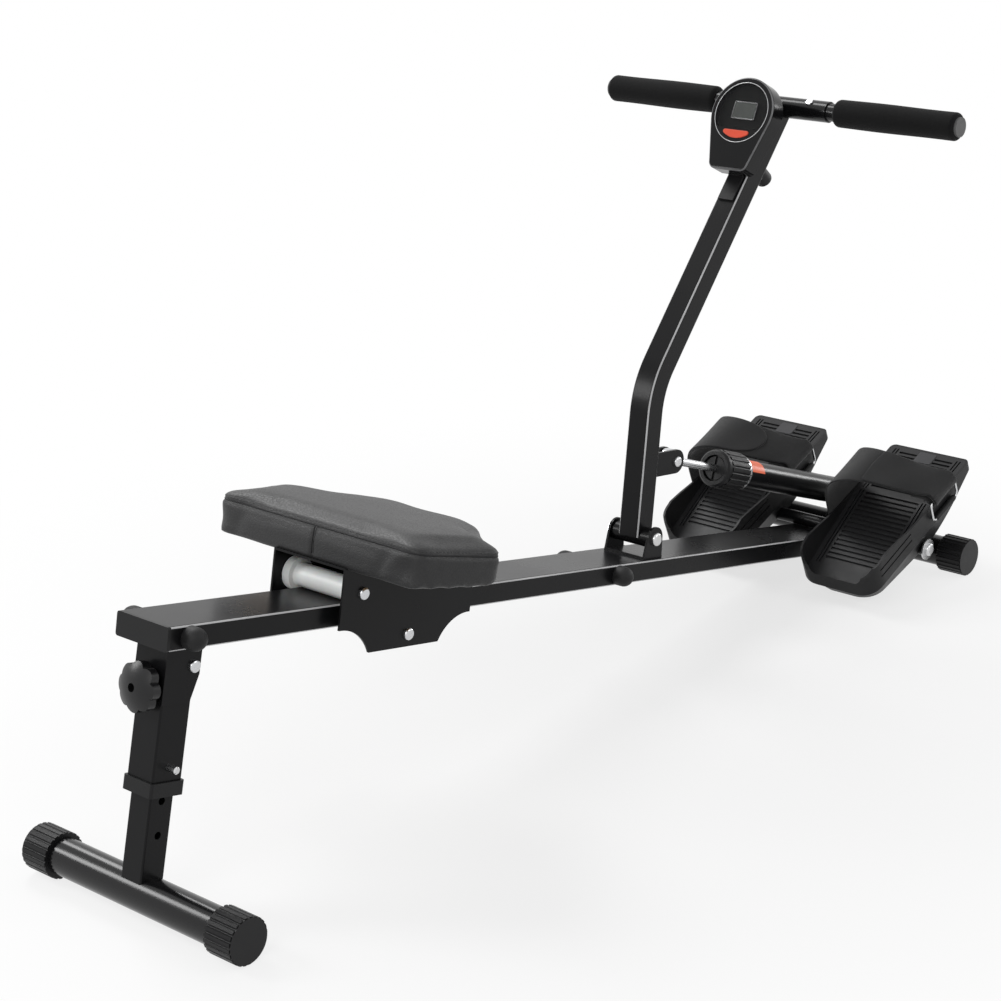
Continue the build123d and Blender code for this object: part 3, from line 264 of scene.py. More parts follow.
RAIL = np.array([-JOINTS["seat_slide"]["axis"][0], 0.0, -JOINTS["seat_slide"]["axis"][2]])
RAIL_UP = np.array([-RAIL[2], 0.0, RAIL[0]])
ACROSS = np.array([0.0, 1.0, 0.0])
BORE = np.array(JOINTS["rod_stroke"]["axis"], float)
BORE_FOOT = np.array(JOINTS["cylinder_swing"]["pos_m"], float)
FACE_OUT = -np.array(JOINTS["button_press"]["axis"], float)
FACE_UP = np.array([FACE_OUT[2], 0.0, -FACE_OUT[0]])
PEDAL_LIFT = math.radians(21.0)
TREAD = np.array([math.cos(PEDAL_LIFT), 0.0, math.sin(PEDAL_LIFT)])
TREAD_OUT = np.array([-math.sin(PEDAL_LIFT), 0.0, math.cos(PEDAL_LIFT)])


def span_of(node, direction):
    """Lowest and highest reach of a node along a direction."""
    reach = read_points(NODES[node].data) @ np.asarray(direction)
    return reach.min(), reach.max()


# Shader expressions

class Wire:
    """A shader socket in an expression: every operator adds one Math node to its tree."""

    def __init__(self, tree, socket):
        self.tree, self.socket = tree, socket

    def math(self, operation, first, second):
        """One Math node on two values or wires."""
        return add_node(self.tree, "ShaderNodeMath", {"operation": operation}, {0: first, 1: second})

    def __add__(self, other):
        return self.math("ADD", self, other)

    def __sub__(self, other):
        return self.math("SUBTRACT", self, other)

    def __rsub__(self, other):
        return self.math("SUBTRACT", other, self)

    def __mul__(self, other):
        return self.math("MULTIPLY", self, other)

    def __gt__(self, other):
        return self.math("GREATER_THAN", self, other)


def add_node(tree, kind, settings, sockets, out=0):
    """A shader node with its settings and the values or wires of its sockets; one output comes back."""
    node = tree.nodes.new(kind)
    for key, value in settings.items():
        setattr(node, key, value)
    for key, value in sockets.items():
        if isinstance(value, Wire):
            tree.links.new(value.socket, node.inputs[key])
        else:
            node.inputs[key].default_value = value
    return Wire(tree, node.outputs[out])


class Finish:
    """One procedural material: a Principled shader and the nodes that vary it over the surface."""

    def __init__(self, name, shine, constants=None):
        self.material = bpy.data.materials.new(name)
        self.material.use_nodes = True
        self.tree = self.material.node_tree
        self.shader = self.tree.nodes["Principled BSDF"]
        for label, value in {"Specular IOR Level": shine, **(constants or {})}.items():
            self.shader.inputs[label].default_value = value
        self.place = self.add("ShaderNodeTexCoord", out="Object")

    def add(self, kind, settings=None, sockets=None, out=0):
        """Any node in this material's tree."""
        return add_node(self.tree, kind, settings or {}, sockets or {}, out)

    def spot(self, stretch=(1.0, 1.0, 1.0), turn=(0.0, 0.0, 0.0)):
        """Object coordinates turned and stretched."""
        return self.add("ShaderNodeMapping", sockets={"Vector": self.place, "Scale": stretch, "Rotation": turn})

    def noise(self, scale, detail, *mapping):
        """Cloudy noise between 0 and 1, in features per metre, on coordinates mapped as by spot."""
        return self.add("ShaderNodeTexNoise", out="Fac", sockets={
            "Vector": self.spot(*mapping), "Scale": scale, "Detail": detail, "Roughness": 0.55})

    def cells(self, scale, feature="F1"):
        """Distance inside a cell pattern, in cells per metre."""
        return self.add("ShaderNodeTexVoronoi", {"feature": feature}, {"Vector": self.place, "Scale": scale},
                        out="Distance")

    def tint(self, mask, low, high):
        """A colour that goes with a mask from low, a colour or a wire, to high."""
        low = low if isinstance(low, Wire) else (*low, 1.0)
        return self.add("ShaderNodeMix", {"data_type": "RGBA"}, {0: mask, 6: low, 7: (*high, 1.0)}, out=2)

    def shade(self, mask, base, spread):
        """A base colour made darker and lighter by a share of itself."""
        return self.tint(mask, [v * (1 - spread) for v in base], [min(v * (1 + spread), 1.0) for v in base])

    def corner(self):
        """1 on the faces that are marked as rounded corners, which get a painted highlight."""
        return self.add("ShaderNodeAttribute", {"attribute_name": "corner"}, out="Fac")

    def feed(self, label, wire):
        """Lead a wire into one of the shader's sockets."""
        self.tree.links.new(wire.socket, self.shader.inputs[label])

    def done(self, tone, rough, height=None, depth=0.0, strength=1.0):
        """The material, fed with colour, roughness and a bump from a height of 0 to 1 at a depth in metres."""
        self.feed("Base Color", tone)
        self.feed("Roughness", rough)
        if height is not None:
            self.feed("Normal", self.add("ShaderNodeBump", sockets={
                "Height": height, "Distance": depth, "Strength": strength}, out="Normal"))
        return self.material


def powder_coat(name, base, rough, peel, painted_glint, shine=0.13):
    """Gloss powder coat: clouds, orange peel, specks of dust and a painted highlight on rounded corners."""
    mat = Finish(name, shine, {"Coat Roughness": 0.12})
    cloud = mat.noise(9.0, 4.0)
    dust = mat.noise(1400.0, 1.0) > 0.80
    dusty = mat.tint(dust * 0.15, base, [v * 3.0 + 0.003 for v in base])
    mat.feed("Coat Weight", cloud * 0.06)
    # painted highlight: the marked corners are tinted towards the pale glint colour, in clouds
    return mat.done(mat.tint(mat.corner() * (cloud * 0.5 + 0.4), dusty, painted_glint),
                    cloud * 0.12 + rough, mat.noise(420.0, 1.0), peel, 0.25)


def moulded(name, base, rough, grain, spread=0.25, shine=0.22):
    """Moulded plastic: spark-eroded grain, flow clouds and scuffed patches of gloss."""
    mat = Finish(name, shine)
    pits = mat.cells(1500.0) * 0.6 + mat.noise(2600.0, 2.0) * 0.4
    return mat.done(mat.shade(mat.noise(14.0, 4.0), base, spread),
                    mat.noise(60.0, 3.0) * 0.18 + rough, pits, grain, 0.6)


def bright_metal(name, base, rough, turn=(0.0, 0.0, 0.0)):
    """Bright plated steel: fine drawn lines, faint blue-yellow clouds and finger dulling."""
    mat = Finish(name, 0.5, {"Metallic": 1.0})
    cloud = mat.noise(30.0, 3.0)
    lines = mat.noise(900.0, 2.0, (1.0, 0.06, 1.0), turn)
    warm = [base[0], base[1] * 0.985, base[2] * 0.95]
    cool = [base[0] * 0.94, base[1] * 0.97, base[2]]
    return mat.done(mat.tint(cloud, warm, cool), cloud * 0.10 + lines * 0.10 + rough, lines, 0.00004, 0.3)


def leatherette(name, base):
    """Vinyl leather: pebbles with creases between them, painted darker as painted shade, glossier where raised, and
    broad clouds.
    """
    mat = Finish(name, 0.36, {"Sheen Weight": 0.04, "Sheen Roughness": 0.4})
    pebble = mat.cells(520.0, "SMOOTH_F1")
    crease = mat.add("ShaderNodeMapRange", sockets={
        "Value": mat.cells(260.0, "DISTANCE_TO_EDGE"), "From Max": 0.14})
    cloud = mat.noise(11.0, 5.0)
    # painted shade: the creases between the pebbles are darker in colour
    return mat.done(mat.shade(cloud * 0.7 + crease * 0.3, base, 0.22), 0.52 - crease * 0.10 + cloud * 0.08,
                    crease * 0.65 + (1 - pebble) * 0.35, 0.00022, 0.7)


def cell_foam(name, base):
    """Closed-cell foam: open pores of two sizes, painted darker as painted shade in them, and a dusty matt face."""
    mat = Finish(name, 0.10, {"Sheen Weight": 0.05, "Sheen Roughness": 0.6})
    fine, coarse, cloud = mat.cells(1700.0), mat.cells(650.0), mat.noise(40.0, 4.0)
    # painted shade: the pits of the fine pores are darker in colour
    return mat.done(mat.shade(fine * 0.6 + cloud * 0.4, base, 0.45), cloud * 0.10 + 0.82,
                    fine * 0.5 + coarse * 0.5, 0.0004, 0.8)


def strap_nap(name, base):
    """Napped strap: fine loop pile, painted darker where it is low as painted shade, with brushed clouds, dull."""
    mat = Finish(name, 0.22, {"Sheen Weight": 0.25, "Sheen Roughness": 0.45})
    nap, cloud = mat.noise(1900.0, 3.0), mat.noise(55.0, 4.0)
    # painted shade: the low parts of the pile are darker in colour
    return mat.done(mat.shade(nap * 0.5 + cloud * 0.5, base, 0.40), cloud * 0.12 + 0.74, nap, 0.0005, 0.7)


def rubber(name, base):
    """Black rubber: talc clouds and a fine matt grain."""
    mat = Finish(name, 0.30)
    cloud = mat.noise(70.0, 4.0)
    return mat.done(mat.shade(cloud, base, 0.35), cloud * 0.15 + 0.52, mat.noise(1500.0, 2.0), 0.0001, 0.5)


def nylon(name, base):
    """White nylon: milky clouds, turning lines round the axle and grey rolling marks."""
    mat = Finish(name, 0.45, {"Subsurface Weight": 0.08})
    cloud, lines = mat.noise(45.0, 4.0), mat.noise(300.0, 2.0, (0.04, 1.0, 0.04))
    return mat.done(mat.tint(cloud * 0.5 + lines * 0.3, base, [v * 0.86 for v in base]),
                    lines * 0.15 + 0.30, lines, 0.00008, 0.4)


def plywood(name):
    """Plywood: thin stacked plies along the board's height, grain stretched along its length."""
    mat = Finish(name, 0.25)
    level = (0.0, -math.atan2(RAIL_UP[0], RAIL_UP[2]), 0.0)
    grain = mat.noise(60.0, 5.0, (0.12, 1.0, 1.0), level)
    plies = mat.add("ShaderNodeTexWave", {"bands_direction": "Z"}, {
        "Vector": mat.spot(turn=level), "Scale": 95.0, "Distortion": 0.6}, out="Fac")
    return mat.done(mat.tint(grain * 0.6 + plies * 0.4, (0.46, 0.31, 0.17), (0.26, 0.16, 0.08)),
                    grain * 0.2 + 0.55, grain, 0.0002, 0.4)


def gloss_shell(name, base):
    """Gloss console plastic: flow clouds, hairline marks and a painted highlight on rounded corners."""
    mat = Finish(name, 0.16, {"Coat Roughness": 0.04})
    cloud = mat.noise(20.0, 3.0)
    hair = mat.noise(800.0, 2.0, (1.0, 0.05, 1.0), (0.3, 0.2, 0.7))
    mat.feed("Coat Weight", cloud * 0.08 + 0.02)
    # painted highlight: the marked corners are tinted towards pale grey, in clouds
    return mat.done(mat.tint(mat.corner() * (cloud * 0.9 - 0.1), base, (0.45, 0.45, 0.46)),
                    hair * 0.06 + 0.13, hair, 0.00002, 0.2)


def smoked_window(name):
    """Smoked window: dark clear plastic, a little denser in clouds, with hairline scratches."""
    mat = Finish(name, 0.22)
    cloud = mat.noise(30.0, 3.0)
    hair = mat.noise(700.0, 2.0, (1.0, 0.03, 1.0), (0.5, 0.1, 0.4))
    mat.feed("Alpha", cloud * 0.06 + 0.36)
    return mat.done(mat.shade(cloud, (0.006, 0.006, 0.007), 0.3), hair * 0.05 + 0.04)


def crystal_panel(name):
    """Grey liquid crystal: a fine pixel grid over an uneven silver-green ground."""
    mat = Finish(name, 0.4)
    cloud = mat.noise(60.0, 3.0)
    grid = mat.add("ShaderNodeTexBrick", {"offset": 0.0, "squash": 1.0}, {
        "Vector": mat.place, "Scale": 900.0, "Mortar Size": 0.08}, out="Fac")
    return mat.done(mat.tint(cloud * 0.6 + grid * 0.2, (0.62, 0.66, 0.62), (0.44, 0.48, 0.45)), cloud * 0.1 + 0.3)


def solder_mask(name):
    """Black solder mask with faint copper tracks under it."""
    mat = Finish(name, 0.4)
    wave = mat.add("ShaderNodeTexWave", {"bands_direction": "DIAGONAL"}, {
        "Vector": mat.place, "Scale": 90.0, "Distortion": 3.0, "Detail": 1.0}, out="Fac")
    track = wave > 0.72
    return mat.done(mat.tint(track, (0.006, 0.008, 0.007), (0.020, 0.024, 0.016)),
                    wave * 0.1 + 0.35, track, 0.00003, 0.5)


def press_button(name, base):
    """Translucent red button: satin grain and a little glow through it."""
    mat = Finish(name, 0.4, {"Subsurface Weight": 0.15})
    cloud = mat.noise(70.0, 3.0)
    return mat.done(mat.shade(cloud, base, 0.12), cloud * 0.1 + 0.34, mat.noise(2000.0, 1.0), 0.00004, 0.4)


def printed_sticker(name, base):
    """Plain printed sticker: solid ink with a faint screen, its face a little rubbed."""
    mat = Finish(name, 0.4)
    rub, screen = mat.noise(180.0, 4.0), mat.cells(1800.0)
    return mat.done(mat.tint(rub * 0.35 + screen * 0.15, base, [min(v * 1.5 + 0.03, 1) for v in base]),
                    rub * 0.15 + 0.35)


def finishes(colours):
    """Every finish of the machine by its slot."""
    paint, steel, plastic = colours.paint, colours.steel, colours.plastic
    along_bore = (0.0, math.atan2(BORE[0], BORE[2]), 0.0)
    return {
        "frame_paint": powder_coat("frame_paint", paint, 0.22, 0.00003, colours.edge),
        "bar_paint": powder_coat("bar_paint", paint, 0.13, 0.00003, colours.edge, 0.30),
        "cap_plastic": moulded("cap_plastic", plastic, 0.30, 0.00006),
        "rubber": rubber("buffer_rubber", plastic),
        "foam": cell_foam("grip_foam", colours.foam),
        "bright": bright_metal("bright_plate", steel, 0.16),
        "steel": bright_metal("ground_steel", [v * 0.8 for v in steel], 0.28, along_bore),
        "leather": leatherette("seat_leatherette", colours.leather),
        "board": plywood("seat_plywood"),
        "roller": nylon("roller_nylon", colours.nylon),
        "pedal": moulded("pedal_plastic", colours.pedal, 0.36, 0.00010, 0.3),
        # painted highlight: the tread is a lighter copy of the pedal plastic, standing in for light on its ribs
        "tread": moulded("tread_plastic_painted_lighter", [v * 1.9 for v in colours.pedal], 0.34, 0.00008, 0.3),
        "toe_pad": moulded("toe_pad_plastic", [v * 6 for v in colours.pedal], 0.55, 0.00020, 0.4),
        "strap": strap_nap("strap_nap", colours.strap),
        "console": gloss_shell("console_gloss", [0.005, 0.005, 0.0055]),
        "window": smoked_window("smoked_window"),
        "lcd": crystal_panel("crystal_panel"),
        "pcb": solder_mask("solder_mask"),
        "button": press_button("press_button", colours.button),
        "scale": bright_metal("scale_silver", [v * 0.95 for v in steel], 0.26, along_bore),
        "knob": moulded("knob_plastic", [v * 1.2 for v in plastic], 0.22, 0.00004, shine=0.32),
        "dial": moulded("dial_plastic", plastic, 0.34, 0.00008),
        "plug": moulded("plug_plastic", [0.10, 0.10, 0.10], 0.40, 0.00008),
        "sticker": printed_sticker("plain_sticker", colours.sticker),
    }


FINISH_NAMES = {}
# Parts whose rounded corners get a painted highlight, and the shares of a face's normal that mark a corner
PAINTED_HIGHLIGHT_PARTS = ("main_beam", "column_tube", "seat_carriage", "console_tongue", "console_shell")
CORNER_LEAST, CORNER_MOST = 0.45, 0.9  # share of a corner face's normal
# The treads take a lighter copy of the pedal plastic, a painted highlight
OTHER = {"cylinder_hub": "dial", "pedal_tread_left": "tread", "pedal_tread_right": "tread", "leg_knob": "knob",
         "piston_rod": "bright", "handle_tee": "bar_paint", "handle_bar": "bar_paint"}
SOFT = ("seat_pad", "foam_grip_left", "foam_grip_right", "pedal_strap_left", "pedal_strap_right")


def finish_of(slot):
    """The finish already made for a slot."""
    return bpy.data.materials[FINISH_NAMES[slot]]


def mark_highlight_corners(mesh, direction):
    """Mark the faces of rounded corners, which look partly along a direction and partly square to it; they get a
    painted highlight.
    """
    aside = np.abs(read(mesh.polygons, "normal") @ direction)
    corner = mesh.attributes.new("corner", "FLOAT", "FACE")
    corner.data.foreach_set("value", ((aside > CORNER_LEAST) & (aside < CORNER_MOST)).astype(np.float32))


class ROWER_OT_rigid(bpy.types.Operator):
    """Give every rigid node its finish, on a merged copy with soft shading over its round faces"""
    bl_idname = "rower.rigid"
    bl_label = "Rigid pieces"

    def execute(self, context):
        made = finishes(context.scene.rower_colours)
        FINISH_NAMES.update({slot: material.name for slot, material in made.items()})
        for node, source in NODES.items():
            material = finish_of(OTHER.get(node, SLOT_OF[node]))
            source.data.materials.clear()
            source.data.materials.append(material)
            if node in SOFT:
                continue
            mesh = merged_copy(node, node + "_soft_edges")
            # marked corners get a painted highlight in their finish
            if node in PAINTED_HIGHLIGHT_PARTS:
                mark_highlight_corners(mesh, FACE_OUT if node == "console_shell" else ACROSS)
            mesh.shade_smooth()
            mesh.set_sharp_from_angle(angle=context.scene.rower_sizes.soft_angle)
            piece = linked(node + "_finished", mesh)
            weigh = piece.modifiers.new("weigh", "WEIGHTED_NORMAL")
            weigh.keep_sharp = True
            applied(piece)
            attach(piece, source["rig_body"])
            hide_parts(node)
        return {"FINISHED"}


# Seat cushion, in metres

FOOT = 0.012  # height of the cover that stays on the board
CLOTH = {"quality": 5, "mass": 0.3, "use_pressure": True, "uniform_pressure_force": 4.0}  # in its own units
SMOOTH_SHARE, SMOOTH_PASSES = 0.5, 4
TOP_FACING = 0.95  # least share of up in a top face's normal
RING_POINTS, RING_PASSES = 720, 4
GROOVE_DEEP, GROOVE_WIDE = 0.0017, 0.0024  # along the seam
ROLL_HIGH, ROLL_WIDE, ROLL_RISE = 0.0012, 0.004, 0.007  # over the seam
UNDER_FADE = 0.004  # from the seam down to the side's own marks
REAR_DEEP, REAR_WIDE, REAR_FACING = 0.0016, 0.0022, (2, 0.6)  # facing: slope, offset
REAR_FOOT, REAR_THREAD = 0.004, 0.8  # start over the foot, share of the welt
FOLD_DEEP, FOLD_SLANT, FOLD_FADE = 0.0016, 0.45, 0.016
# Place, width and share of the depth of each fold
FOLDS = ((-0.092, 0.008, 0.9), (-0.122, 0.011, 1.3), (-0.140, 0.005, 0.6), (0.118, 0.009, 0.8))
LIP_DROP, LIP_START, LIP_RUN = 0.0028, 0.80, 0.12  # the last two as shares of the seam's reach
RUMPLE, RUMPLE_ACROSS, RUMPLE_ALONG, RUMPLE_START = 0.0004, 95, 70, 1.3  # height, radians per metre, radians
STITCH_RISE, STITCH_SHARE, STITCH_THICK = 0.0035, 0.72, 0.00035  # share: of the pitch


def bell(away, width):
    """A bell curve: 1 at nought, falling off over a width."""
    return np.exp(-(away / width) ** 2)


def ramp(value):
    """A value kept between 0 and 1."""
    return np.clip(value, 0, 1)


def edge_ends(mesh):
    """The two vertex numbers of each edge, as two arrays."""
    return read(mesh.edges, "vertices", 2, np.int32).T


def cut_cover(slack):
    """The pad's mesh cut smaller: drawn in to its middle by the slack, and lowered by a share of it with height."""
    mesh = merged_copy("seat_pad", "seat_cushion")
    points = read_points(mesh)
    middle = (points.min(0) + points.max(0)) / 2
    away = points - middle
    ahead, aside, rise = away @ RAIL, away @ ACROSS, points @ RAIL_UP
    rise = rise - rise.min()
    cut = 1 - slack / np.abs([ahead, aside]).max(1)
    move_points(mesh, middle + np.outer(ahead, RAIL) * cut[0] + np.outer(aside, ACROSS) * cut[1]
                + np.outer(away @ RAIL_UP - slack * (rise / rise.max()), RAIL_UP))
    return mesh


def even_cells(mesh, cell):
    """A piece from the mesh, rebuilt in even cells and smoothed."""
    piece = linked("seat_cushion", mesh)
    remesh = piece.modifiers.new("cells", "REMESH")
    remesh.mode = "VOXEL"
    remesh.voxel_size = cell
    remesh.use_smooth_shade = True
    even = piece.modifiers.new("even", "SMOOTH")
    even.factor, even.iterations = SMOOTH_SHARE, SMOOTH_PASSES
    return applied(piece)


def stuffed(piece, sizes):
    """Swell the cover by pressure, its foot held; even the move out and cap how far each point goes."""
    rest = read_points(piece.data)
    height = rest @ RAIL_UP
    group = piece.vertex_groups.new(name="held")
    group.add(np.flatnonzero(height < height.min() + FOOT).tolist(), 1.0, "REPLACE")
    cloth = piece.modifiers.new("stuffing", "CLOTH")
    for key, value in CLOTH.items():
        setattr(cloth.settings, key, value)
    cloth.settings.vertex_group_mass = group.name
    cloth.settings.effector_weights.gravity = 0.0
    cloth.collision_settings.use_collision = False
    for step in range(1, sizes.frames + 1):
        bpy.context.scene.frame_set(step)
    moved = piece.evaluated_get(bpy.context.evaluated_depsgraph_get())
    move = read_points(moved.data) - rest
    piece.modifiers.clear()
    bpy.context.scene.frame_set(1)
    first, second = edge_ends(piece.data)
    count = np.bincount(np.concatenate([first, second]), minlength=len(rest))[:, None]
    for _ in range(sizes.evening):
        around = np.zeros_like(move)
        np.add.at(around, first, move[second])
        np.add.at(around, second, move[first])
        move = 0.5 * move + 0.5 * around / count
    far = np.linalg.norm(move, axis=1, keepdims=True)
    move_points(piece.data, rest + move * np.minimum(1.0, sizes.swell / np.maximum(far, 1e-9)))


def pad_axes():
    """The pad's own up, which is the mean normal of its top faces, and the level direction along it."""
    mesh = NODES["seat_pad"].data
    normals, areas = read(mesh.polygons, "normal"), read(mesh.polygons, "area", 1)
    top = normals @ RAIL_UP > TOP_FACING
    up = (normals[top] * areas[top]).sum(0) * [1.0, 0.0, 1.0]
    up /= np.linalg.norm(up)
    return up, np.array([up[2], 0.0, -up[0]])


def polar(away, ahead):
    """Angle and distance, from above the cushion, of places given from a middle."""
    return np.arctan2(away @ ACROSS, away @ ahead), np.hypot(away @ ACROSS, away @ ahead)


def seam_ring(mesh, up, ahead, level):
    """The cover's outline at a level: where its edges cross it, by angle round the middle, evened a little."""
    first, second = read_points(mesh)[edge_ends(mesh)]
    h0, h1 = first @ up - level, second @ up - level
    cross = h0 * h1 < 0
    share = (h0[cross] / (h0[cross] - h1[cross]))[:, None]
    cut = first[cross] + share * (second[cross] - first[cross])
    middle = (cut.min(0) + cut.max(0)) / 2
    turn = circle(RING_POINTS)
    radius = np.interp(turn, *polar(cut - middle, ahead), period=2 * np.pi)
    for _ in range(RING_PASSES):
        radius = (np.roll(radius, 1) + 2 * radius + np.roll(radius, -1)) / 4
    foot = middle - (middle @ up - level) * up
    return foot + radius[:, None] * swing(turn, ahead, ACROSS)


def sew(mesh, up, ahead, low, level):
    """Shape the cover. Points move along their normals: out by a bell curve over the seam, in by bell curves along
    the seam, down the rear and at slanting folds, and by a product of two sines under the seam. Near the foot's rim
    they also drop, by a ramp of their reach as a share of the seam's.
    """
    points, normals = read_points(mesh), read(mesh.vertex_normals, "vector", kind=np.float32).astype(float)
    height = points @ up
    side = ramp(2 - 2 * np.abs(normals @ up))
    under = ramp((level - height) / UNDER_FADE)
    rear = ramp(-(normals @ ahead) * REAR_FACING[0] - REAR_FACING[1]) * under
    slant = points[:, 1] + FOLD_SLANT * (height - low)
    folds = sum(deep * bell(slant - at, wide) for at, wide, deep in FOLDS)
    puff = ROLL_HIGH * side * bell(height - level - ROLL_RISE, ROLL_WIDE)
    press = GROOVE_DEEP * side * bell(height - level, GROOVE_WIDE)
    press += REAR_DEEP * rear * bell(points[:, 1], REAR_WIDE)
    press += FOLD_DEEP * folds * under * side * ramp((level - height) / FOLD_FADE)
    rumple = np.sin(points[:, 1] * RUMPLE_ACROSS + RUMPLE_START) * np.sin(points @ RAIL * RUMPLE_ALONG)
    rumple = rumple * RUMPLE * under
    ring = seam_ring(mesh, up, ahead, level)
    heart = (ring.min(0) + ring.max(0)) / 2
    angle, reach = polar(points - heart, ahead)
    rim = reach / np.interp(angle, *polar(ring - heart, ahead), period=2 * np.pi)
    lip = LIP_DROP * ramp((rim - LIP_START) / LIP_RUN) * ramp((low + FOOT - height) / FOOT)
    move_points(mesh, points + normals * (puff - press + rumple)[:, None] - lip[:, None] * up)
    mesh.shade_smooth()


def rear_seam(mesh, up, ahead, low, high, radius, rows=24, sides=8, near=0.006, band=0.004):
    """A thread down the middle of the cover's rear face: at each height a ring round the rearmost point there."""
    points = read_points(mesh)
    points = points[np.abs(points[:, 1]) < near]
    level = np.linspace(low, high, rows)
    back = np.array([(points[np.abs(points @ up - h) < band] @ ahead).min() for h in level])
    back = np.convolve(np.pad(back, 2, mode="edge"), np.ones(5) / 5, "valid")
    path = level[:, None] * up + back[:, None] * ahead
    return path[:, None] + radius * swing(circle(sides), ACROSS, ahead)


def even_path(path, pitch):
    """Points at an even pitch along a closed path, with their directions."""
    closed = np.vstack([path, path[:1]])
    run = np.concatenate([[0], np.cumsum(np.linalg.norm(np.diff(closed, axis=0), axis=1))])
    at = np.linspace(0, run[-1], int(run[-1] / pitch), endpoint=False)
    points = np.stack([np.interp(at, run, closed[:, k]) for k in range(3)], 1)
    return points, headings(points)


def welt_tube(path, radius, up, sides=10):
    """A tube round a closed path: each ring is a circle square to the path's direction."""
    out = np.cross(headings(path), up)
    return path[:, None] + radius * swing(circle(sides), out[:, None], up)


def stitches(points, ahead, out, long, thick, sides=6, steps=5):
    """Short bowed threads: each is a small tube that rises from the cover and dips back in by a fourth power."""
    t = np.linspace(-1, 1, steps)
    middle = points[:, None] + 0.5 * long * t[None, :, None] * ahead[:, None]
    middle = middle + out[:, None] * (thick * (0.9 - 1.6 * t ** 4))[None, :, None]
    ring = swing(circle(sides), out[:, None, None], np.cross(ahead, out)[:, None, None])
    width = thick * np.sqrt(ramp(1.04 - t ** 2))
    return middle[:, :, None] + width[None, :, None, None] * ring


class ROWER_OT_cushion(bpy.types.Operator):
    """Stuff the seat's cover by simulation, press its seams in and sew a welt and stitches along them"""
    bl_idname = "rower.cushion"
    bl_label = "Seat cushion"

    def execute(self, context):
        sizes = context.scene.rower_sizes
        piece = even_cells(cut_cover(sizes.slack), sizes.voxel)
        stuffed(piece, sizes)
        divide = piece.modifiers.new("divide", "SUBSURF")
        divide.levels = divide.render_levels = 1
        mesh = applied(piece).data
        mesh.materials.clear()
        mesh.materials.append(finish_of("leather"))
        up, ahead = pad_axes()
        height = read_points(mesh) @ up
        low, level = height.min(), height.max() - sizes.seam_drop
        sew(mesh, up, ahead, low, level)
        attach(piece, "seat")
        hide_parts("seat_pad")
        welt = welt_tube(seam_ring(mesh, up, ahead, level), sizes.welt, up)
        # The welt and the rear thread are real piping and thread; their near-black rubber finish, darker than the
        # cover, is also painted shade along the seams
        loft_piece("seat_welt", welt, "seat", "leather", "rubber", wrap=True)
        thread = rear_seam(mesh, up, ahead, low + REAR_FOOT, level, sizes.welt * REAR_THREAD)
        loft_piece("rear_seam", thread, "seat", "leather", "rubber")
        path, along = even_path(seam_ring(mesh, up, ahead, level + STITCH_RISE), sizes.stitch)
        threads = stitches(path, along, np.cross(along, up), sizes.stitch * STITCH_SHARE, STITCH_THICK)
        add_piece("seat_stitches", *many_grids(threads, True), "seat", "leather")
        return {"FINISHED"}


# Foam grips, in metres

FOAM_PLAY = 0.0001  # between the sleeve and the bar
FOAM_SWELL, FOAM_WAVES = 0.0003, 41  # depth, radians per metre


def foam_rings(centre, inner, outer, start, end, roll, turns=72, steps=40, bends=9):
    """A sleeve: a bore, rounded rims and an outside that swells by a cosine, turned round the bar."""
    quarter = np.linspace(0, np.pi / 2, bends)
    run = np.linspace(start + roll, end - roll, steps)[::-1][1:-1]
    along = np.concatenate([[start, end], end - roll + roll * np.cos(quarter), run,
                            start + roll - roll * np.sin(quarter)])
    reach = np.concatenate([[inner, inner], outer - roll + roll * np.sin(quarter), np.full(len(run), outer),
                            outer - roll + roll * np.cos(quarter)])
    reach = np.where(reach > inner + 1e-6, reach - FOAM_SWELL * (1 - np.cos(along * FOAM_WAVES)), reach)
    turn = circle(turns)[:, None]
    x = centre[0] + np.cos(turn) * reach
    z = centre[2] + np.sin(turn) * reach
    return np.stack([x, np.broadcast_to(along, x.shape), z], -1)


class ROWER_OT_grips(bpy.types.Operator):
    """Slip a foam sleeve with rounded ends over each half of the handlebar"""
    bl_idname = "rower.grips"
    bl_label = "Foam grips"

    def execute(self, context):
        roll = context.scene.rower_sizes.foam_round
        for side in ("left", "right"):
            low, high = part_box(f"foam_grip_{side}")
            centre = np.array([(low.x + high.x) / 2, 0.0, (low.z + high.z) / 2])
            outer = (high.z - low.z) / 2
            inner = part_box("handle_bar")[1].z - centre[2] + FOAM_PLAY
            rings = foam_rings(centre, inner, outer, low.y, high.y, roll)
            piece = loft_piece(f"grip_sleeve_{side}", rings, "column", "foam", wrap=True)
            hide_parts(f"foam_grip_{side}")
        return {"FINISHED"}


# Pedal straps, in metres from the pedal's axle

WALL = 0.0621  # from the middle to the strap's foot
WIRE = (0.053, -0.0653, 0.0312)  # lower bar of the wire loop: along, across, up
STRAP_ARCH = np.array([(WALL, 0.030), (WALL, 0.052), (WALL, 0.081), (0.054, 0.105), (0.036, 0.119), (0.010, 0.122),
                       (-0.012, 0.112), (-0.034, 0.095), (-0.054, 0.078), (-0.0672, 0.068), (-0.0700, 0.0602),
                       (-0.0684, 0.0550), (-0.0622, 0.0550), (-0.0608, 0.0602), (-0.0580, 0.0690), (-0.046, 0.080)])
ARCH_STEPS = 1499
STRAP_MIDDLE = (0.009, -0.0215, 0.0225)  # terms of a quadratic across the pedal
STRAP_HALF = (0.033, 0.007, 0.002)
STRAP_SQUARE = 0.35  # power of the section: 1 is an oval
SAG, SAG_WAVES = 0.0012, 7  # depth, radians across half the pedal
LAPS = {"left": (0.02, 0.46, 0.22), "right": (0.70, 0.35, 0.03)}  # start, end, tongue
LAP_THIN, LAP_LIFT = 0.8, 0.92  # shares of the strap's thickness
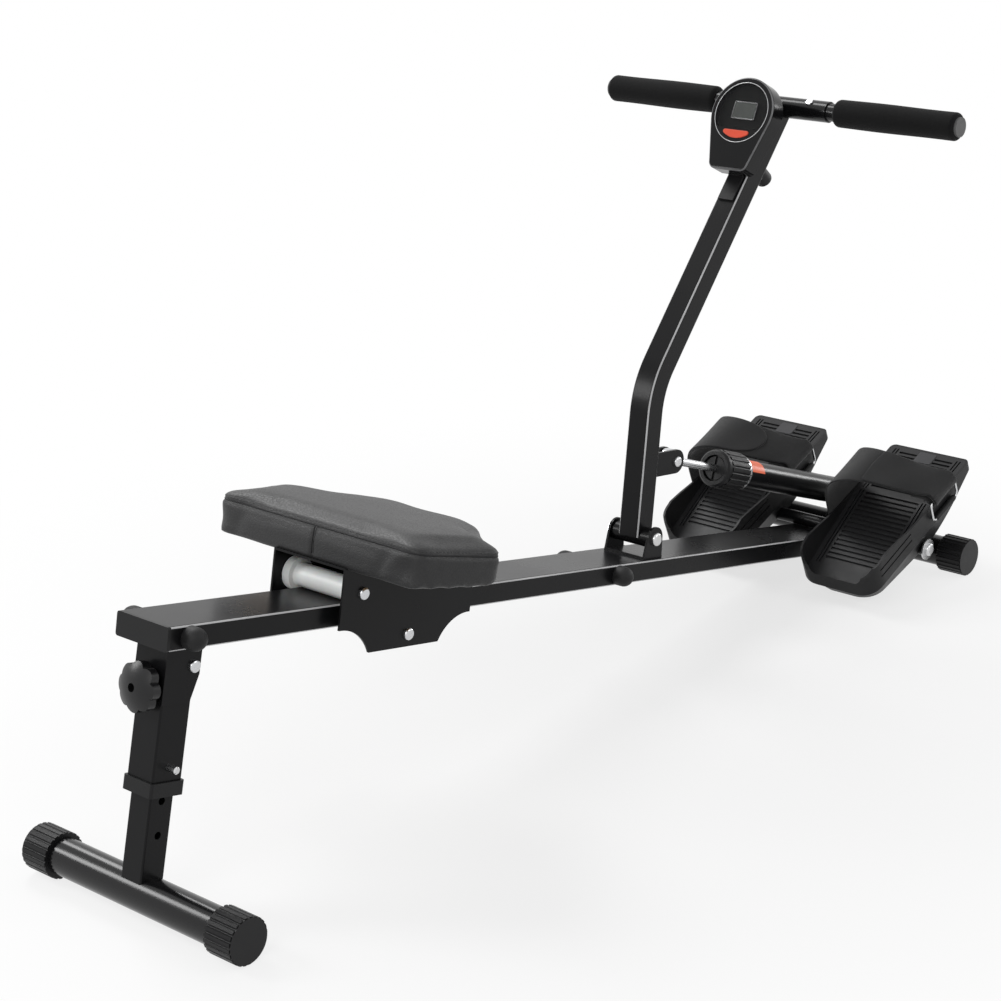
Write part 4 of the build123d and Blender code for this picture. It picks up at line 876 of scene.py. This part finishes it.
TONGUE_WIDE, TONGUE_BLUNT, TONGUE_LEAST = 0.97, 2.6, 0.02
TOE_STACK = ((0.0, -0.0001), (0.0, 0.0004), (0.0002, 0.0006), (0.0012, 0.0006))  # inset and height of each ring


def on_pedal(hinge, along, across, up):
    """Places on a pedal, by its own directions along the tread, across it and out of it."""
    return hinge + along[..., None] * TREAD + across[..., None] * ACROSS + up[..., None] * TREAD_OUT


def bent_path(controls, count):
    """A smooth path near its control points: a uniform cubic B-spline with its ends held."""
    c = np.vstack([2 * controls[0] - controls[1], controls, 2 * controls[-1] - controls[-2]])
    t = np.linspace(0, len(c) - 3 - 1e-9, count)
    k = t.astype(int)
    f = (t - k)[:, None]
    return ((1 - f) ** 3 * c[k] + (3 * f ** 3 - 6 * f ** 2 + 4) * c[k + 1]
            + (-3 * f ** 3 + 3 * f ** 2 + 3 * f + 1) * c[k + 2] + f ** 3 * c[k + 3]) / 6


def strap_rings(hinge, thick, start, end, lift, tongue=0.0, rows=90, columns=44):
    """The strap carried over the arch: its section is an oval with squared corners, and its middle and width bow as
    quadratics across the pedal. A tongue narrows to a blunt end.
    """
    path = bent_path(STRAP_ARCH, ARCH_STEPS + 1)
    pick = np.linspace(start * ARCH_STEPS, end * ARCH_STEPS, rows).astype(int)
    path, ahead = path[pick], unit(np.gradient(path, axis=0))[pick]
    share = np.clip(path[:, 0] / WALL, -1, 1)
    middle, half = (a + b * share + c * share ** 2 for a, b, c in (STRAP_MIDDLE, STRAP_HALF))
    if tongue:
        blunt = 1 - ramp(1 - np.linspace(1, 0, rows) / tongue) ** TONGUE_BLUNT
        half = TONGUE_WIDE * half * np.sqrt(np.clip(blunt, TONGUE_LEAST, 1))
    wide, high = (np.sign(v) * np.abs(v) ** STRAP_SQUARE for v in spokes(columns).T)
    lift = lift + thick / 2 * high + SAG * np.sin(share * SAG_WAVES)[:, None] * (1 - wide ** 2)
    return on_pedal(hinge, middle[:, None] + half[:, None] * wide, path[:, :1] + ahead[:, 1:] * lift,
                    path[:, 1:] - ahead[:, :1] * lift)


def keeper_rings(hinge, half=0.027, wide=0.0046, high=0.0040, aside=0.0010, rows=40, columns=28):
    """A moulded lug over the wire loop's lower bar: an oval section that closes in at both ends by a high power."""
    t = np.linspace(-1, 1, rows)[:, None]
    swell = np.sqrt(ramp(1.0005 - np.abs(t) ** 8))
    c, s = spokes(columns).T
    return on_pedal(hinge, WIRE[0] + half * t, WIRE[1] + aside + wide * swell * c, WIRE[2] + high * swell * s)


def toe_rings(hinge, middle=0.118, level=0.050, long=0.022, wide=0.026, corner=0.003):
    """A thin rough pad on the toe's flat: rounded rectangles, stacked and drawn in towards the top."""
    stack = []
    for inset, height in TOE_STACK:
        x, y = round_frame(long - 2 * inset, wide - 2 * inset, corner - inset).T
        stack.append(on_pedal(hinge, middle + x, y, np.array(level + height)))
    return np.stack(stack)


class ROWER_OT_straps(bpy.types.Operator):
    """Arch a napped strap over each pedal, fold it round its wire loop, lap its loose end and pad the toe"""
    bl_idname = "rower.straps"
    bl_label = "Pedal straps"

    def execute(self, context):
        thick = context.scene.rower_sizes.strap_thick
        for side, (start, end, tongue) in LAPS.items():
            hinge = np.array(JOINTS[f"pedal_{side}_tilt"]["pos_m"], float)
            body = f"pedal_{side}"
            strap = strap_rings(hinge, thick, 0.0, 1.0, 0.0, rows=150)
            piece = loft_piece(f"strap_{side}", strap, body, "strap")
            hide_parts(f"pedal_strap_{side}")
            lap = strap_rings(hinge, thick * LAP_THIN, start, end, thick * LAP_LIFT, tongue)
            loft_piece(f"strap_lap_{side}", lap, body, "strap")
            loft_piece(f"wire_keeper_{side}", keeper_rings(hinge), body, "pedal")
            loft_piece(f"toe_pad_{side}", toe_rings(hinge), body, "pedal", "toe_pad")
        return {"FINISHED"}


# Console face and damper marks, in metres

FRAME_EDGE, FRAME_CORNER, FRAME_THICK = 0.002, 0.0015, (0.0010, 0.0008)  # thick: along, out
RING_OUT, RING_THICK = 0.0008, (0.0004, 0.0003)
MARKS, MARK_STEPS = 24, 4
LONG_MARK, SHORT_MARK = (0.040, 0.62), (0.022, 0.36)  # radians, share of the ring
MARK_LIFT, STICKER_LIFT = 0.00012, 0.00015
STICKER_GAP, STICKER_LONG, STICKER_TURN = 0.010, 0.030, (-1.3, 0.1)  # radians


def round_frame(width, height, corner, count=48):
    """A rounded rectangle as a closed run of points."""
    c, s = spokes(count).T
    x = np.sign(np.round(c, 9)) * (width / 2 - corner) + corner * c
    y = np.sign(np.round(s, 9)) * (height / 2 - corner) + corner * s
    return np.stack([x, y], 1)


def face_bead(name, path, thick, up, out, slot):
    """Lay a bead on the console's face: an oval section carried round a flat closed path, square to it."""
    section = spokes(10) * thick
    ahead = headings(path)
    across = path[:, :1] + section[:, 0] * ahead[:, 1:]
    rise = path[:, 1:] - section[:, 0] * ahead[:, :1] + up
    rings = across[..., None] * -ACROSS + rise[..., None] * FACE_UP + (section[:, 1:] + out) * FACE_OUT
    loft_piece(name, rings, "column", slot, wrap=True)


class ROWER_OT_console(bpy.types.Operator):
    """Frame the display in silver and run a bright ring round the console's window"""
    bl_idname = "rower.console"
    bl_label = "Console face"

    def execute(self, context):
        up, across = span_of("console_lcd", FACE_UP), span_of("console_lcd", ACROSS)
        frame_path = round_frame(across[1] - across[0] + FRAME_EDGE, up[1] - up[0] + FRAME_EDGE, FRAME_CORNER)
        out = span_of("console_lcd", FACE_OUT)[1]
        face_bead("display_frame", frame_path, FRAME_THICK, sum(up) / 2, out, "bright")
        radius = span_of("console_window", ACROSS)[1]
        middle = span_of("console_window", FACE_UP)[1] - radius
        out = span_of("console_shell", FACE_OUT)[1]
        face_bead("window_ring", (radius + RING_OUT) * spokes(160), RING_THICK, middle, out, "steel")
        return {"FINISHED"}


def lay(name, radius, along, turn, slot, finish=None):
    """Lay patches round the damper, facing out: places at a radius, by distance along it and turn from straight up."""
    top = np.cross(ACROSS, BORE)
    top = top if top[2] > 0 else -top
    places = BORE_FOOT + along[..., None] * BORE + radius * swing(turn, top, np.cross(BORE, top))
    points, quads = many_grids(places, False)
    a, b, c = points[quads.T[:3]]
    axis = BORE_FOOT + ((a - BORE_FOOT) @ BORE)[:, None] * BORE
    good = (np.cross(b - a, c - a) * (a - axis)).sum(1) > 0
    add_piece(name, points, np.where(good[:, None], quads, quads[:, ::-1]), "cylinder", slot, finish)


class ROWER_OT_damper(bpy.types.Operator):
    """Stamp plain marks on the damper's scale ring and lay a plain sticker on its tube"""
    bl_idname = "rower.damper"
    bl_label = "Damper marks"

    def execute(self, context):
        low, high = (v - BORE_FOOT @ BORE for v in span_of("scale_ring", BORE))
        u = np.linspace(-1, 1, MARK_STEPS)
        wide, tall = np.array([LONG_MARK, SHORT_MARK] * (MARKS // 2)).T[..., None, None]
        turn = circle(MARKS)[:, None, None] + wide * u + 0 * u[:, None]
        along = low + (high - low) * (0.5 + 0.5 * tall * u[:, None]) + 0 * turn
        lay("scale_marks", span_of("scale_ring", ACROSS)[1] + MARK_LIFT, along, turn, "dial")
        along, turn = np.meshgrid(low - STICKER_GAP - np.linspace(0, STICKER_LONG, 10),
                                  np.linspace(*STICKER_TURN, 24), indexing="ij")
        lay("tube_sticker", span_of("cylinder_tube", ACROSS)[1] + STICKER_LIFT, along[None], turn[None],
            "scale", "sticker")
        return {"FINISHED"}


# Studio, in metres and watts

FLOOR_REACH, FLOOR_DROP, FLOOR_POINTS = 9.0, 0.0004, 13
FADE_START, FADE_END, FADE_LEAST = 0.3, 1.15, 0.66  # where the floor turns white
SENSOR = 36.0  # millimetres
SOFT_BOXES = (  # name, place, target, width and height, power
    ("key_box", (0.5, 1.9, 2.5), (0.0, 0.0, 0.25), (1.0, 1.8), 44.0),
    ("left_box", (-2.6, -0.6, 1.9), (0.0, 0.0, 0.3), (1.5, 1.5), 20.0),
    ("right_box", (1.3, -2.8, 2.0), (0.2, 0.0, 0.3), (1.5, 1.5), 20.0),
    ("bar_box", (-1.17, 1.03, 0.97), (-0.62, 0.0, 0.02), (0.3, 0.6), 7.0),
    ("front_box", (2.95, -0.6, 0.6), (0.4, 0.0, 0.2), (0.5, 0.5), 13.0))


class ROWER_OT_stage(bpy.types.Operator):
    """Pale floor, even daylight, five soft boxes and the photograph's camera"""
    bl_idname = "rower.stage"
    bl_label = "Studio"

    def execute(self, context):
        scene, stage = context.scene, context.scene.rower_stage
        scene.view_settings.view_transform = "Standard"
        reach = np.linspace(-FLOOR_REACH, FLOOR_REACH, FLOOR_POINTS)
        x, y = np.meshgrid(reach, reach, indexing="ij")
        points = np.stack([x, y, np.full_like(x, -FLOOR_DROP)], -1).reshape(-1, 3)
        quads = grid_quads(FLOOR_POINTS, FLOOR_POINTS, wrap_columns=False)[:, ::-1]
        mesh = bpy.data.meshes.new("studio_floor")
        mesh.from_pydata(points.tolist(), [], quads.tolist())
        mesh.materials.append(floor_finish(scene.rower_colours.floor))
        floor = linked("studio_floor", mesh)
        for name, place, target, size, power in SOFT_BOXES:
            light = bpy.data.lights.new(name, "AREA")
            light.shape = "RECTANGLE"
            light.size, light.size_y = size
            light.energy = power
            lamp = linked(name, light)
            lamp.location = place
            lamp.rotation_euler = (Vector(target) - Vector(place)).to_track_quat("-Z", "Y").to_euler()
        scene.world = daylight(stage.daylight)
        camera = bpy.data.cameras.new("photo_camera")
        camera.lens = stage.lens
        camera.sensor_width = SENSOR
        camera.shift_x, camera.shift_y = stage.shift
        scene.camera = linked("photo_camera", camera)
        scene.camera.matrix_world = Matrix.LocRotScale(Vector(stage.eye), Euler(stage.turn, "XYZ"), None)
        return {"FINISHED"}


def seen_by_eye(tree):
    """1 for rays that a viewer sees the backdrop by: camera, mirror and glass rays."""
    node = tree.nodes.new("ShaderNodeLightPath")
    eye, mirror, glass = (Wire(tree, node.outputs[f"Is {ray} Ray"]) for ray in ("Camera", "Glossy", "Transmission"))
    return eye.math("MAXIMUM", eye, mirror.math("MAXIMUM", mirror, glass))


def floor_finish(base):
    """Pale floor: faintly clouded paint that keeps shadows, white to the viewer's rays away from the machine."""
    mat = Finish("studio_floor", 0.0, {"Roughness": 0.9})
    mat.feed("Base Color", mat.shade(mat.noise(2.0, 2.0), base, 0.01))
    far = mat.add("ShaderNodeVectorMath", {"operation": "LENGTH"}, {0: mat.place}, out="Value")
    fade = mat.add("ShaderNodeMapRange", {"interpolation_type": "SMOOTHSTEP"}, {
        "Value": far, "From Min": FADE_START, "From Max": FADE_END, "To Min": FADE_LEAST, "To Max": 1.0})
    both = mat.add("ShaderNodeMixShader", sockets={
        0: fade * seen_by_eye(mat.tree), 1: Wire(mat.tree, mat.shader.outputs[0]), 2: mat.add("ShaderNodeEmission")})
    mat.tree.links.new(both.socket, mat.tree.nodes["Material Output"].inputs["Surface"])
    return mat.material


def daylight(strength):
    """White surroundings for the viewer's rays, a gentler even light for everything else."""
    world = bpy.data.worlds.new("studio")
    world.use_nodes = True
    tree = world.node_tree
    level = seen_by_eye(tree) * (1.0 - strength) + strength
    tree.nodes["Background"].inputs["Color"].default_value = (1.0, 1.0, 1.0, 1.0)
    tree.links.new(level.socket, tree.nodes["Background"].inputs["Strength"])
    return world


class ROWER_PT_panel(bpy.types.Panel):
    """Lists the machine's steps, sizes and colours"""
    bl_idname = "ROWER_PT_panel"
    bl_label = "Rowing machine"
    bl_space_type = "VIEW_3D"
    bl_region_type = "UI"
    bl_category = "Rower"

    def draw(self, context):
        for step in STEPS:
            self.layout.operator(step.bl_idname)
        for name, kind in GROUPS.items():
            for key in kind.__annotations__:
                self.layout.prop(getattr(context.scene, name), key)


STEPS = (ROWER_OT_stage, ROWER_OT_rigid, ROWER_OT_cushion, ROWER_OT_grips, ROWER_OT_straps, ROWER_OT_console,
         ROWER_OT_damper)
GROUPS = {"rower_sizes": RowerSizes, "rower_colours": RowerColours, "rower_stage": RowerStage}
CLASSES = (*GROUPS.values(), *STEPS, ROWER_PT_panel)


def register():
    """Add the classes and the scene's property groups."""
    for cls in CLASSES:
        bpy.utils.register_class(cls)
    for name, kind in GROUPS.items():
        setattr(bpy.types.Scene, name, PointerProperty(type=kind))


def unregister():
    """Take the property groups and classes away again."""
    for name in GROUPS:
        delattr(bpy.types.Scene, name)
    for cls in reversed(CLASSES):
        bpy.utils.unregister_class(cls)


def main():
    """Run every step in order."""
    register()
    bpy.ops.rower.stage()
    bpy.ops.rower.rigid()
    bpy.ops.rower.cushion()
    bpy.ops.rower.grips()
    bpy.ops.rower.straps()
    bpy.ops.rower.console()
    bpy.ops.rower.damper()


if __name__ == "__main__":
    main()
